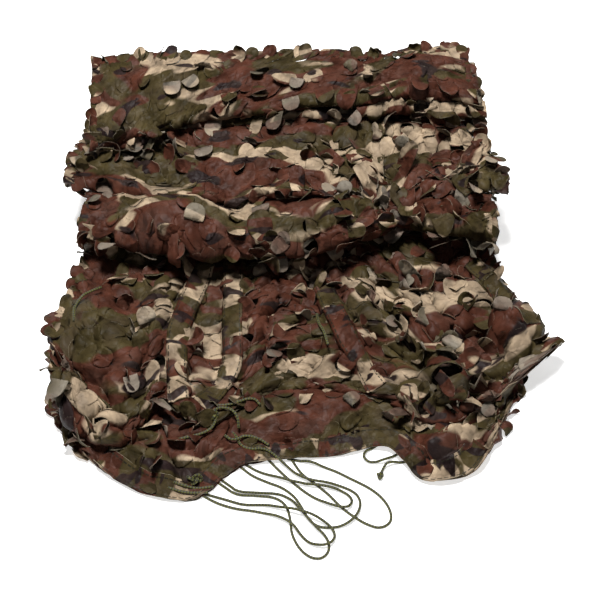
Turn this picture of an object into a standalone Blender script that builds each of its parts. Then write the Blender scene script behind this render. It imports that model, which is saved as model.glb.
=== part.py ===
"""A camouflage net folded back and forth into three steps, with its binding and its tie cords.

The net is one leaf-cut cloth. It starts at a free edge on the floor in front, runs to the
back, folds, comes forward again and so on, eleven layers in all. The lowest three reach
furthest forward and spread into a bunch on each side. Four layers behind them make the
middle step, whose lowest fold is a thick roll, and the last four make the top step.

Frame: metres, +X to the net's right, +Y to its back, +Z up, floor at z = 0. Every object
hangs on one empty, which puts the origin under the middle of the box round the net.
"""

import math
from collections import namedtuple

import bmesh
import bpy
import numpy as np
from mathutils import Vector
from mathutils.bvhtree import BVHTree

MM = 0.001

# ---------------------------------------------------------------- driving dimensions

CLOTH_THICKNESS = 2.0 * MM      # the printed cloth with its leaves pressed flat
COLUMNS = 20                    # strips of cloth across the width, about a leaf each
SIDE_SCATTER = 5.0 * MM         # how far the layers' side edges lie out of line
EDGE_RAGGEDNESS = 4.0 * MM      # how far single leaves stand out of a side edge
UNEVENNESS = 0.22               # share by which the space between two layers varies
MIN_SPACE = 6.5 * MM            # least space between the middles of two layers
FLAT_BELOW = 0.4 * MM           # lower lumps of the floor layer are pressed flat
FOLD_ROUNDNESS = 0.5            # bulge of a fold as a share of the space it spans
SEED = 7

BINDING_WIDTH = 25.0 * MM       # woven tape sewn over the net's edge
BINDING_THICKNESS = 1.4 * MM
BINDING_STEP = 15.0 * MM        # spacing of the points along a tape
BINDING_CLEARANCE = 0.5 * MM    # space left between a tape and what it lies on
BINDING_OVERHANG = 1.0 * MM     # how far the front tape stands out past the cloth's edge
TAPE_LOOKS = (-1.0, -0.5, 0.0, 0.5, 1.0)    # where the ground beside a tape point is felt,
TAPE_LOOK_REACH = 0.55 * BINDING_STEP       # in steps of this reach

CORD_DIAMETER = 3.2 * MM        # braided tie cord
CORD_STEP = 2.7 * CORD_DIAMETER # spacing of the points along a cord
CORD_CLEARANCE = 0.35 * MM      # space left between a cord and what it lies on
CORD_OFF_FLOOR = 0.1 * MM       # and between a cord and the floor
CORD_RISE_LENGTH = 26.0 * MM    # length over which a cord climbs over another one
CORD_LOOK_STEP = CORD_DIAMETER / 3          # spacing of the looks at what lies below a cord
CORD_OWN_STRETCH = 4 * CORD_DIAMETER        # a cord is not lifted over this much of itself

GAP_LENGTH = 0.78               # a cut leaf gap as a share of its cell's diagonal
GAP_WIDTH = 0.42                # and across it

# ---------------------------------------------------------------- the folds' lines

# Each line is given at even steps across the cloth, from its left side to its right side.
LINES = {
    "back": [(-0.270, 0.326), (-0.140, 0.333), (0.000, 0.330), (0.120, 0.337), (0.236, 0.331)],
    "top_edge": [(-0.280, 0.326), (-0.205, 0.334), (-0.120, 0.336), (-0.030, 0.343),
                 (0.050, 0.339), (0.105, 0.330), (0.160, 0.346), (0.230, 0.341)],
    "free_edge": [(-0.258, -0.214), (-0.214, -0.250), (-0.168, -0.273), (-0.116, -0.275),
                  (-0.072, -0.235), (-0.012, -0.225), (0.045, -0.219), (0.100, -0.210),
                  (0.142, -0.254), (0.200, -0.240), (0.240, -0.168)],
    "low_fold": [(-0.288, -0.136), (-0.250, -0.166), (-0.200, -0.182), (-0.155, -0.160),
                 (-0.098, -0.160), (-0.036, -0.130), (0.030, -0.126), (0.094, -0.142),
                 (0.148, -0.180), (0.206, -0.172), (0.252, -0.116)],
    "roll": [(-0.282, 0.084), (-0.200, 0.070), (-0.110, 0.054), (-0.020, 0.056),
             (0.080, 0.082), (0.170, 0.094), (0.248, 0.080)],
    "shelf": [(-0.306, 0.150), (-0.200, 0.118), (-0.110, 0.106), (-0.020, 0.112),
              (0.080, 0.106), (0.170, 0.112), (0.266, 0.128)],
    "top_under": [(-0.276, 0.180), (-0.210, 0.198), (-0.130, 0.238), (-0.050, 0.248),
                  (0.060, 0.246), (0.150, 0.252), (0.246, 0.240)],
    "top": [(-0.270, 0.196), (-0.200, 0.212), (-0.130, 0.250), (-0.050, 0.262),
            (0.060, 0.256), (0.150, 0.266), (0.238, 0.254)],
}
WANDER = 4.0 * MM               # how far a fold strays from its line between the steps

# One row for each layer, from the floor up. space: from the layer below, at the back.
# covered: the share of its depth, from the back, that lies under the step above.
Layer = namedtuple("Layer", "name space back front covered hidden_rows shown_rows")
LAYERS = [
    Layer("floor", 0.0, "back", "free_edge", 0.78, 4, 3),
    Layer("lower", 13 * MM, "back", "low_fold", 1.00, 4, 0),
    Layer("spread", 13 * MM, "back", "low_fold", 0.56, 3, 7),
    Layer("roll_under", 16 * MM, "back", "roll", 1.00, 4, 0),
    Layer("roll_over", 17 * MM, "back", "roll", 0.72, 2, 2),
    Layer("shelf_under", 16 * MM, "back", "shelf", 1.00, 3, 0),
    Layer("shelf", 15 * MM, "back", "shelf", 0.40, 2, 4),
    Layer("top_lowest", 13 * MM, "back", "top_under", 1.00, 2, 0),
    Layer("top_lower", 13 * MM, "back", "top_under", 1.00, 2, 0),
    Layer("top_under", 13 * MM, "back", "top", 1.00, 2, 0),
    Layer("top", 14 * MM, "top_edge", "top", 0.00, 0, 4),
]
FOLD_POINTS = {"roll": 4}       # points round a fold, two where nothing is said
USUAL_FOLD_POINTS = 2

# Soft lumps and hollows: where the middle is, how far each reaches, and its height. Each
# widens or narrows the space under the layer it is listed for, and lifts all above it.
Lump = namedtuple("Lump", "layer x y reach_x reach_y height")
LUMPS = [
    Lump("floor", 0.172, -0.230, 0.040, 0.024, 9 * MM),     # right front lobe, off the floor
    Lump("floor", -0.150, -0.252, 0.045, 0.016, 5 * MM),    # left front flap
    Lump("spread", -0.255, -0.050, 0.055, 0.050, 34 * MM),  # left bunch, its top
    Lump("spread", -0.268, -0.145, 0.055, 0.045, 32 * MM),  # left bunch, its front
    Lump("spread", -0.175, -0.080, 0.040, 0.090, 20 * MM),  # ridge beside the left bunch
    Lump("spread", -0.060, -0.060, 0.045, 0.060, 12 * MM),  # middle, its left side
    Lump("spread", 0.060, -0.070, 0.050, 0.055, 18 * MM),   # middle, its right side
    Lump("spread", 0.160, -0.030, 0.055, 0.045, 30 * MM),   # right bunch, its top
    Lump("spread", 0.262, -0.066, 0.050, 0.045, 30 * MM),   # right bunch, its side
    Lump("spread", 0.178, -0.140, 0.055, 0.045, 36 * MM),   # right bunch, its front
    Lump("roll_under", 0.000, 0.050, 0.400, 0.050, 10 * MM),  # space under the roll
    Lump("roll_over", -0.170, 0.066, 0.170, 0.065, 34 * MM),  # the roll's left half
    Lump("roll_over", 0.060, 0.080, 0.120, 0.055, 22 * MM),   # the roll's middle
    Lump("roll_over", 0.230, 0.090, 0.070, 0.060, 30 * MM),   # the roll's right end
    Lump("shelf", 0.250, 0.150, 0.035, 0.050, 12 * MM),     # gathered right end
    Lump("shelf", -0.060, 0.180, 0.090, 0.040, 8 * MM),
    Lump("shelf", -0.270, 0.170, 0.050, 0.040, 9 * MM),
    Lump("top", -0.180, 0.275, 0.070, 0.035, 8 * MM),
    Lump("top", 0.120, 0.295, 0.080, 0.035, 9 * MM),
]

# Creases run straight between two points. reach: how far one spreads to each side.
Crease = namedtuple("Crease", "layer x0 y0 x1 y1 reach height")
CREASES = [
    Crease("spread", -0.168, -0.200, -0.275, -0.100, 0.018, -17 * MM),  # left bunch, splayed
    Crease("spread", -0.165, -0.200, -0.215, -0.020, 0.017, -15 * MM),  # from its front hollow
    Crease("spread", -0.160, -0.190, -0.165, -0.120, 0.020, -14 * MM),
    Crease("spread", -0.120, 0.030, -0.105, -0.160, 0.016, -10 * MM),   # beside the strap
    Crease("spread", 0.000, 0.020, 0.020, -0.120, 0.018, -9 * MM),      # middle
    Crease("spread", 0.110, 0.020, 0.085, -0.150, 0.018, -12 * MM),     # inside the right bunch
    Crease("spread", 0.213, -0.080, 0.235, -0.170, 0.018, -18 * MM),    # right bunch, splayed
    Crease("spread", 0.213, -0.080, 0.120, -0.095, 0.016, -15 * MM),    # from its hollow
    Crease("spread", 0.213, -0.080, 0.245, -0.010, 0.016, -16 * MM),
    Crease("roll_over", -0.090, 0.110, -0.070, 0.020, 0.022, -12 * MM), # dents in the roll
    Crease("roll_over", 0.120, 0.120, 0.135, 0.030, 0.024, -14 * MM),
    Crease("shelf", -0.240, 0.200, -0.180, 0.110, 0.020, -6 * MM),
    Crease("shelf", 0.030, 0.220, 0.070, 0.110, 0.022, -6 * MM),
    Crease("top", -0.060, 0.320, -0.020, 0.250, 0.020, -4 * MM),
]

# How far the side edges of the spread layers swing out, and where along their depth.
SideSwing = namedtuple("SideSwing", "layer side out peak rise fall")
SIDE_SWINGS = [
    SideSwing("floor", "left", -0.044, 0.86, 4.0, 0.5),
    SideSwing("floor", "right", 0.044, 0.84, 5.0, 0.9),
    SideSwing("lower", "left", -0.024, 0.86, 4.0, 0.5),
    SideSwing("lower", "right", 0.060, 0.90, 6.0, 0.9),
    SideSwing("spread", "left", -0.018, 0.85, 4.5, 0.6),
    SideSwing("spread", "right", 0.068, 0.92, 6.0, 0.9),
]

# Long waves that make the spaces between layers uneven: lengths in metres.
Wave = namedtuple("Wave", "length_x length_y share")
WAVES = [Wave(0.310, 0.240, 0.40), Wave(0.170, -0.210, 0.35), Wave(-0.110, 0.150, 0.25)]

# ---------------------------------------------------------------- tapes and cords

# The middle of each loose stretch of binding, from behind to the front.
STRAPS = {
    "binding_strap_left": [(-0.085, 0.012), (-0.084, -0.050), (-0.083, -0.100),
                           (-0.100, -0.135), (-0.118, -0.160)],
    "binding_strap_outer": [(-0.131, 0.020), (-0.142, -0.028), (-0.149, -0.078),
                            (-0.147, -0.130), (-0.143, -0.158)],
    "binding_strap_middle": [(0.036, -0.005), (0.045, -0.040), (0.056, -0.072), (0.078, -0.108),
                             (0.092, -0.136)],
    "binding_strap_right": [(0.244, 0.024), (0.262, -0.020), (0.286, -0.062)],
}
FRONT_BINDING_SPAN = (0.05, 0.94)   # shares of the free edge between which it is bound

# Each cord's route on the floor and over the net, by hand, one end to the other.
CORDS = {
    "cord_outer_loop": [(0.000, -0.226), (0.013, -0.229), (0.039, -0.239), (0.057, -0.249),
                        (0.079, -0.262), (0.093, -0.275), (0.101, -0.290), (0.101, -0.304),
                        (0.090, -0.312), (0.075, -0.308), (0.060, -0.298), (0.046, -0.286),
                        (0.033, -0.271), (0.018, -0.257), (0.004, -0.245), (-0.004, -0.234),
                        (-0.008, -0.227)],
    "cord_inner_loop": [(-0.030, -0.232), (-0.021, -0.242), (-0.009, -0.254), (0.011, -0.271),
                        (0.032, -0.283), (0.048, -0.288), (0.057, -0.285), (0.058, -0.276),
                        (0.050, -0.268), (0.038, -0.263), (0.024, -0.260), (0.009, -0.258),
                        (-0.010, -0.254), (-0.030, -0.247), (-0.048, -0.240), (-0.058, -0.234)],
    "cord_arched_loop": [(-0.094, -0.183), (-0.082, -0.186), (-0.074, -0.196), (-0.068, -0.208),
                         (-0.056, -0.212), (-0.042, -0.212), (-0.030, -0.220), (-0.018, -0.232),
                         (-0.002, -0.246), (0.014, -0.253), (0.032, -0.256), (0.050, -0.261),
                         (0.064, -0.270), (0.068, -0.283), (0.063, -0.298), (0.052, -0.308),
                         (0.038, -0.312), (0.022, -0.311), (0.011, -0.303), (0.003, -0.289),
                         (-0.006, -0.274), (-0.020, -0.262), (-0.038, -0.254), (-0.054, -0.246),
                         (-0.064, -0.238)],
    "cord_far_loop": [(-0.080, -0.259), (-0.069, -0.266), (-0.046, -0.268), (-0.024, -0.270),
                      (-0.010, -0.278), (0.000, -0.290), (0.010, -0.303), (0.020, -0.315),
                      (0.029, -0.325), (0.032, -0.336), (0.028, -0.346), (0.019, -0.350),
                      (0.008, -0.346), (-0.002, -0.335), (-0.009, -0.319), (-0.011, -0.302),
                      (-0.016, -0.285), (-0.028, -0.275), (-0.047, -0.272), (-0.071, -0.270),
                      (-0.084, -0.262)],
    "cord_low_loop": [(-0.100, -0.272), (-0.084, -0.277), (-0.064, -0.283), (-0.042, -0.284),
                      (-0.018, -0.289), (0.000, -0.294), (0.016, -0.300), (0.030, -0.309),
                      (0.038, -0.320), (0.036, -0.330), (0.026, -0.335), (0.012, -0.332),
                      (0.001, -0.322), (-0.010, -0.308), (-0.028, -0.298), (-0.050, -0.292),
                      (-0.074, -0.288), (-0.094, -0.281), (-0.108, -0.273)],
    "cord_right_loop": [(0.084, -0.209), (0.077, -0.214), (0.074, -0.221), (0.079, -0.227),
                        (0.090, -0.228), (0.100, -0.225), (0.110, -0.219)],
    "cord_right_tail": [(0.116, -0.228), (0.108, -0.229), (0.100, -0.232), (0.095, -0.239),
                        (0.092, -0.247)],
    "cord_middle_tie": [(0.021, -0.036), (0.023, -0.052), (0.029, -0.068), (0.034, -0.088)],
    "cord_left_side": [(-0.248, -0.004), (-0.266, -0.022), (-0.275, -0.044), (-0.273, -0.066)],
}

# Knots and tight wraps of cord, seen from above: the middle and the size.
Knot = namedtuple("Knot", "name x y size")
KNOTS = [
    Knot("cord_knot_upper", -0.103, -0.176, (16 * MM, 12 * MM, 10 * MM)),
    Knot("cord_knot_front", -0.120, -0.256, (20 * MM, 13 * MM, 10 * MM)),
]

COLOURS = {
    "net": ("4f4432", 0.75),
    "binding": ("6b5f49", 0.80),
    "cord": ("43482b", 0.60),
}


# ---------------------------------------------------------------- scene and materials

def clear_scene():
    """Remove every object that the file opened with."""
    for old in list(bpy.data.objects):
        bpy.data.objects.remove(old, do_unlink=True)


def linear(channel):
    """One sRGB channel from 0 to 1, as linear light."""
    if channel <= 0.04045:
        return channel / 12.92
    return ((channel + 0.055) / 1.055) ** 2.4


def make_material(name, kind):
    """A Principled material in the colour and roughness of one kind of piece."""
    colour, roughness = COLOURS[kind]
    material = bpy.data.materials.new(name)
    material.use_nodes = True
    shader = material.node_tree.nodes["Principled BSDF"]
    rgb = [linear(int(colour[i:i + 2], 16) / 255.0) for i in (0, 2, 4)]
    shader.inputs["Base Color"].default_value = (*rgb, 1.0)
    shader.inputs["Roughness"].default_value = roughness
    shader.inputs["Metallic"].default_value = 0.0
    material.diffuse_color = (*rgb, 1.0)
    return material


# ---------------------------------------------------------------- smooth lines

def through(points, shares):
    """The smooth curve through evenly spaced points, read at shares from 0 to 1 of it."""
    points = np.asarray(points, dtype=float)
    spans = len(points) - 1
    at = np.clip(np.asarray(shares, dtype=float), 0.0, 1.0) * spans
    first = np.minimum(at.astype(int), spans - 1)
    t = (at - first)[:, None]
    slopes = np.gradient(points, axis=0)
    p0, p1 = points[first], points[first + 1]
    m0, m1 = slopes[first], slopes[first + 1]
    return ((1 + 2 * t) * (1 - t) ** 2 * p0 + t * (1 - t) ** 2 * m0
            + t ** 2 * (3 - 2 * t) * p1 + t ** 2 * (t - 1) * m1)


def lengths_along(points):
    """The distance from the first point to each point of a polyline."""
    steps = np.linalg.norm(np.diff(points, axis=0), axis=1)
    return np.concatenate([[0.0], np.cumsum(steps)])


def evenly(points, spacing):
    """The smooth curve through the points, as points that lie evenly about spacing apart."""
    fine = through(points, np.linspace(0.0, 1.0, 40 * len(points)))
    run = lengths_along(fine)
    count = max(2, round(run[-1] / spacing) + 1)
    even = np.linspace(0.0, run[-1], count)
    return np.stack([np.interp(even, run, fine[:, i]) for i in range(fine.shape[1])], axis=1)


# ---------------------------------------------------------------- heights of the layers

def unevenness(number, x, y):
    """A wave between about -1 and 1, different for each layer."""
    total = np.zeros_like(x)
    for order, wave in enumerate(WAVES):
        phase = 2.1 * number + 1.7 * order
        total += wave.share * np.sin(2 * math.pi * (x / wave.length_x + y / wave.length_y) + phase)
    return total


def aside_of(crease, x, y):
    """The distance of (x, y) from a crease's straight run."""
    run_x = crease.x1 - crease.x0
    run_y = crease.y1 - crease.y0
    along = ((x - crease.x0) * run_x + (y - crease.y0) * run_y) / (run_x ** 2 + run_y ** 2)
    along = np.clip(along, 0.0, 1.0)
    return np.hypot(x - crease.x0 - along * run_x, y - crease.y0 - along * run_y)


def space_under(number, x, y):
    """How far a layer's middle lies above the layer below it, or above the floor."""
    layer = LAYERS[number]
    space = np.full_like(x, layer.space)
    if number > 0:
        space *= 1.0 + UNEVENNESS * unevenness(number, x, y)
    for lump in LUMPS:
        if lump.layer == layer.name:
            spread = ((x - lump.x) / lump.reach_x) ** 2 + ((y - lump.y) / lump.reach_y) ** 2
            space += lump.height * np.exp(-spread)
    for crease in CREASES:
        if crease.layer == layer.name:
            space += crease.height * np.exp(-(aside_of(crease, x, y) / crease.reach) ** 2)
    if number == 0:
        return np.maximum(space - FLAT_BELOW, 0.0)
    return np.maximum(space, MIN_SPACE)


def height_of(number, x, y):
    """The height of a layer's middle over the point (x, y)."""
    total = np.full_like(x, CLOTH_THICKNESS / 2)
    for below in range(number + 1):
        total += space_under(below, x, y)
    return total


# ---------------------------------------------------------------- the folded cloth

def side_swing(swing, depth):
    """How far a side edge swings out at a depth from 0 at the back to 1 in front."""
    rising = (depth / swing.peak) ** swing.rise
    falling = np.clip((1 - depth) / (1 - swing.peak), 0, None) ** swing.fall
    return swing.out * np.minimum(np.where(depth < swing.peak, rising, falling), 1.0)


def layer_plan(number, depth, shares, scatter):
    """A row of one layer from above, at one depth from 0 at the back to 1 in front."""
    layer = LAYERS[number]
    behind = through(LINES[layer.back], shares)
    ahead = through(LINES[layer.front], shares)
    ahead[:, 1] += WANDER * unevenness(len(layer.front), ahead[:, 0], ahead[:, 1])
    row = behind + (ahead - behind) * depth
    for swing in SIDE_SWINGS:
        if swing.layer == layer.name:
            nearness = shares if swing.side == "right" else 1 - shares
            row[:, 0] += side_swing(swing, depth) * nearness ** 3
    left, right = scatter[number]
    row[:, 0] += left * (1 - shares) ** 4 + right * shares ** 4
    forward = ahead - behind
    forward /= np.linalg.norm(forward, axis=1)[:, None]
    return row, forward


def layer_depths(layer):
    """The depths at which a layer has its rows, from the back to the front."""
    hidden = np.linspace(0.0, layer.covered, layer.hidden_rows + 1)
    shown = np.linspace(layer.covered, 1.0, layer.shown_rows + 1)
    if layer.shown_rows == 0:
        return hidden
    if layer.hidden_rows == 0:
        return shown
    return np.concatenate([hidden, shown[1:]])


def fold_rows(lower, depth, shares, scatter):
    """The rows of a round fold that joins a layer to the one above it."""
    upper = lower + 1
    line, forward = layer_plan(lower, depth, shares, scatter)
    far, _ = layer_plan(upper, depth, shares, scatter)
    if depth == 0.0:
        forward = -forward
    points = FOLD_POINTS.get(LAYERS[lower].front if depth == 1.0 else "back", USUAL_FOLD_POINTS)
    rows = []
    for step in range(1, points + 1):
        turn = math.pi * step / (points + 1)
        level = (1 - math.cos(turn)) / 2
        plan = line + (far - line) * level
        low = height_of(lower, plan[:, 0], plan[:, 1])
        high = height_of(upper, plan[:, 0], plan[:, 1])
        plan = plan + forward * (FOLD_ROUNDNESS * (high - low) * math.sin(turn))[:, None]
        low = height_of(lower, plan[:, 0], plan[:, 1])
        high = height_of(upper, plan[:, 0], plan[:, 1])
        rows.append(np.column_stack([plan, low + (high - low) * level]))
    return rows


def folded_cloth():
    """The middle surface of the cloth as rows of points, and the leaf cells to cut open."""
    shares = np.linspace(0.0, 1.0, COLUMNS + 1)
    rng = np.random.default_rng(SEED)
    scatter = rng.uniform(-SIDE_SCATTER, SIDE_SCATTER, (len(LAYERS), 2))
    rows = []
    cells = []
    for number, layer in enumerate(LAYERS):
        goes_back = number % 2 == 0
        depths = layer_depths(layer)
        if goes_back:
            depths = depths[::-1]
        for order, depth in enumerate(depths):
            plan, _ = layer_plan(number, depth, shares, scatter)
            next_depth = depths[min(order + 1, len(depths) - 1)]
            if order < len(depths) - 1 and min(depth, next_depth) >= layer.covered - 1e-6:
                cells += open_cells(len(rows), number, order)
            rows.append(np.column_stack([plan, height_of(number, plan[:, 0], plan[:, 1])]))
        if number < len(LAYERS) - 1:
            rows += fold_rows(number, 0.0 if goes_back else 1.0, shares, scatter)
    grid = np.array(rows)
    ragged = rng.uniform(-EDGE_RAGGEDNESS, EDGE_RAGGEDNESS, (len(grid), 2))
    grid[:, 0, 0] += ragged[:, 0]
    grid[:, -1, 0] += ragged[:, 1]
    return grid, cells


def open_cells(row, number, order):
    """Every second leaf cell of every second row that shows, staggered."""
    if (order + number) % 2 == 1:
        return []
    first = 1 + (order // 2) % 2
    return [(row, column) for column in range(first, COLUMNS - 1, 2)]


def surface_normals(grid):
    """A unit normal at each point of a grid of points."""
    along = np.gradient(grid, axis=0)
    across = np.gradient(grid, axis=1)
    normals = np.cross(across, along)
    return normals / np.linalg.norm(normals, axis=2)[:, :, None]


def cell_faces(corners, leaf):
    """The faces between a cell's four corners and the six points of its leaf gap."""
    c0, c1, c2, c3 = corners
    p0, p1, p2, p3, p4, p5 = leaf
    return [(c0, c1, p1), (c0, p1, p0), (c1, p2, p1), (c1, c2, p2), (c2, p3, p2),
            (c2, c3, p4), (c2, p4, p3), (c3, p5, p4), (c3, c0, p5), (c0, p0, p5)]


def leaf_points():
    """A leaf lying along a unit cell's diagonal: six points round it, in cell shares."""
    half = GAP_LENGTH / 2
    wide = GAP_WIDTH / 2
    round_leaf = [(-half, 0.0), (-half / 3, -wide), (half / 3, -wide),
                  (half, 0.0), (half / 3, wide), (-half / 3, wide)]
    return [(0.5 + a + b, 0.5 + a - b) for a, b in round_leaf]


def sheet_body(grid, thickness, cells=()):
    """A sheet with its middle on a grid of points: vertices and faces of the closed solid."""
    rows, columns = grid.shape[:2]
    offset = surface_normals(grid) * (thickness / 2)
    sides = [grid + offset, grid - offset]
    points = [tuple(p) for side in sides for p in side.reshape(-1, 3)]
    faces = []
    cells = set(cells)

    def at(side, row, column):
        return side * rows * columns + row * columns + column

    def add(polygon, side):
        faces.append(polygon if side == 0 else polygon[::-1])

    for row in range(rows - 1):
        for column in range(columns - 1):
            rims = []
            for side in (0, 1):
                around = [(row, column), (row, column + 1), (row + 1, column + 1), (row + 1, column)]
                corners = [at(side, r, c) for r, c in around]
                if (row, column) not in cells:
                    add(tuple(corners), side)
                    continue
                surface = sides[side]
                low, right, high, left = [np.array(surface[r, c]) for r, c in around]
                rim = []
                for a, b in leaf_points():
                    rim.append(len(points))
                    mixed = ((1 - a) * (1 - b) * low + a * (1 - b) * right
                             + a * b * high + (1 - a) * b * left)
                    points.append(tuple(mixed))
                for face in cell_faces(corners, rim):
                    add(face, side)
                rims.append(rim)
            if rims:
                front, back = rims
                for i in range(6):
                    j = (i + 1) % 6
                    faces.append((front[i], front[j], back[j], back[i]))
    for row in range(rows - 1):
        faces.append((at(0, row, 0), at(0, row + 1, 0), at(1, row + 1, 0), at(1, row, 0)))
        last = columns - 1
        faces.append((at(0, row + 1, last), at(0, row, last), at(1, row, last), at(1, row + 1, last)))
    for column in range(columns - 1):
        faces.append((at(0, 0, column + 1), at(0, 0, column), at(1, 0, column), at(1, 0, column + 1)))
        last = rows - 1
        faces.append((at(0, last, column), at(0, last, column + 1),
                      at(1, last, column + 1), at(1, last, column)))
    return points, faces


def add_body(name, kind, points, faces, origin):
    """A mesh object from vertices and faces, hung on the origin's empty."""
    mesh = bpy.data.meshes.new(name)
    mesh.from_pydata(points, [], faces)
    form = bmesh.new()
    form.from_mesh(mesh)
    bmesh.ops.triangulate(form, faces=form.faces[:])
    bmesh.ops.recalc_face_normals(form, faces=form.faces[:])
    form.to_mesh(mesh)
    form.free()
    mesh.materials.append(make_material(name, kind))
    body = bpy.data.objects.new(name, mesh)
    bpy.context.scene.collection.objects.link(body)
    body.parent = origin
    return body


# ---------------------------------------------------------------- laying pieces on top

class Pile:
    """What lies on the floor so far, asked from above."""

    def __init__(self):
        self.bodies = []
        self.cords = []

    def add(self, body):
        """Take in a mesh object."""
        mesh = body.data
        points = [v.co.copy() for v in mesh.vertices]
        self.bodies.append(BVHTree.FromPolygons(points, [tuple(p.vertices) for p in mesh.polygons]))

    def top(self, x, y):
        """The height of the highest mesh under the sky over (x, y), or the floor."""
        best = 0.0
        for tree in self.bodies:
            hit = tree.ray_cast(Vector((x, y, 1.0)), Vector((0.0, 0.0, -1.0)))
            if hit[0] is not None:
                best = max(best, hit[0].z)
        return best


def spread_up(needed, run, reach):
    """The lowest smooth heights along a run that meet every needed height."""
    apart = np.abs(run[:, None] - run[None, :]) / reach
    fall = np.where(apart < 1.0, 0.5 + 0.5 * np.cos(math.pi * np.minimum(apart, 1.0)), 0.0)
    floor = needed.min()
    return floor + ((needed - floor)[None, :] * fall).max(axis=1)


def lay_tape(name, middle, pile, origin):
    """A flat tape of binding along a line, lying on what is under it."""
    path = evenly(middle, BINDING_STEP)
    forward = np.gradient(path, axis=0)
    forward /= np.linalg.norm(forward, axis=1)[:, None]
    aside = np.column_stack([forward[:, 1], -forward[:, 0]])
    across = np.array([-0.5, 0.0, 0.5]) * BINDING_WIDTH
    plan = path[:, None, :] + aside[:, None, :] * across[None, :, None]
    looks = [(a * TAPE_LOOK_REACH, b * TAPE_LOOK_REACH) for a in TAPE_LOOKS for b in TAPE_LOOKS]
    heights = np.zeros(plan.shape[:2])
    for row in range(len(path)):
        for column in range(3):
            x, y = plan[row, column]
            heights[row, column] = max(pile.top(x + a, y + b) for a, b in looks)
    heights += BINDING_CLEARANCE + BINDING_THICKNESS / 2
    grid = np.concatenate([plan, heights[:, :, None]], axis=2)
    grid[:, :, 2] -= spare_height(grid, BINDING_THICKNESS / 2, pile) - BINDING_CLEARANCE
    body = add_body(name, "binding", *sheet_body(grid, BINDING_THICKNESS), origin)
    pile.add(body)
    return body


def spare_height(grid, half, pile):
    """The least height of a grid's underside over what lies under it."""
    spare = []
    for row in range(len(grid) - 1):
        for a in np.linspace(0.0, 1.0, 6):
            line = grid[row] + (grid[row + 1] - grid[row]) * a
            for b in np.linspace(0.0, 1.0, 5):
                for left, right in zip(line[:-1], line[1:]):
                    x, y, z = left + (right - left) * b
                    spare.append(z - half - pile.top(x, y))
    return min(spare)


def lay_cord(name, route, pile, origin):
    """A round cord along a route, lying on the floor and over whatever it crosses."""
    radius = CORD_DIAMETER / 2
    path = evenly(route, CORD_STEP)
    run = lengths_along(path)
    fine_run = np.arange(0.0, run[-1], CORD_LOOK_STEP)
    fine = np.stack([np.interp(fine_run, run, path[:, i]) for i in range(2)], axis=1)
    needed = np.full(len(fine), radius + CORD_OFF_FLOOR)
    for i, (x, y) in enumerate(fine):
        for a, b in ((0, 0), (radius, 0), (-radius, 0), (0, radius), (0, -radius)):
            top = pile.top(x + a, y + b)
            if top > 0:
                needed[i] = max(needed[i], top + CORD_CLEARANCE + radius)
    apart = CORD_DIAMETER + CORD_CLEARANCE
    for other in pile.cords:
        needed = np.maximum(needed, clearing_height(fine, other, apart))
    heights = at_points(needed, fine_run, run)
    heights = spread_up(heights, run, CORD_RISE_LENGTH)
    for _ in range(3):
        own = np.column_stack([fine, np.interp(fine_run, run, heights)])
        later = np.maximum(needed, self_clearing_height(own, fine_run, apart))
        heights = spread_up(at_points(later, fine_run, run), run, CORD_RISE_LENGTH)
    curve = bpy.data.curves.new(name, "CURVE")
    curve.dimensions = "3D"
    curve.bevel_depth = radius
    curve.bevel_resolution = 2
    curve.use_fill_caps = True
    spline = curve.splines.new("POLY")
    spline.points.add(len(path) - 1)
    for point, (x, y), z in zip(spline.points, path, heights):
        point.co = (x, y, z, 1.0)
    curve.materials.append(make_material(name, "cord"))
    cord = bpy.data.objects.new(name, curve)
    bpy.context.scene.collection.objects.link(cord)
    cord.parent = origin
    pile.cords.append(np.column_stack([fine, np.interp(fine_run, run, heights)]))
    return cord


def at_points(needed, fine_run, run):
    """The needed height at each coarse point, which also covers the stretches beside it."""
    step = run[1] - run[0]
    near = np.abs(run[:, None] - fine_run[None, :]) <= step + CORD_LOOK_STEP
    return np.where(near, needed[None, :], 0.0).max(axis=1)


def clearing_height(fine, other, apart):
    """The height at which each point of a cord clears another cord that lies under it."""
    flat = np.linalg.norm(fine[:, None, :2] - other[None, :, :2], axis=2)
    over = np.sqrt(np.clip(apart ** 2 - flat ** 2, 0.0, None))
    return np.where(flat < apart, other[None, :, 2] + over, 0.0).max(axis=1)


def self_clearing_height(own, fine_run, apart):
    """The height at which each point of a cord clears the same cord's earlier stretches."""
    flat = np.linalg.norm(own[:, None, :2] - own[None, :, :2], axis=2)
    earlier = fine_run[:, None] - fine_run[None, :] > CORD_OWN_STRETCH
    over = np.sqrt(np.clip(apart ** 2 - flat ** 2, 0.0, None))
    return np.where((flat < apart) & earlier, own[None, :, 2] + over, 0.0).max(axis=1)


def add_knot(knot, pile, origin):
    """The lump of a knot or a tight wrap, a squashed ball that lies on the net."""
    long, wide, tall = knot.size
    form = bmesh.new()
    bmesh.ops.create_icosphere(form, subdivisions=2, radius=0.5)
    looks = np.linspace(-0.5, 0.5, 7)
    under = max(pile.top(knot.x + a * long, knot.y + b * wide) for a in looks for b in looks)
    middle = under + CORD_CLEARANCE + tall / 2
    points = [(knot.x + v.co.x * long, knot.y + v.co.y * wide, middle + v.co.z * tall)
              for v in form.verts]
    faces = [tuple(v.index for v in face.verts) for face in form.faces]
    form.free()
    body = add_body(knot.name, "cord", points, faces, origin)
    for polygon in body.data.polygons:
        polygon.use_smooth = True
    pile.add(body)


# ---------------------------------------------------------------- the whole net

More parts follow.
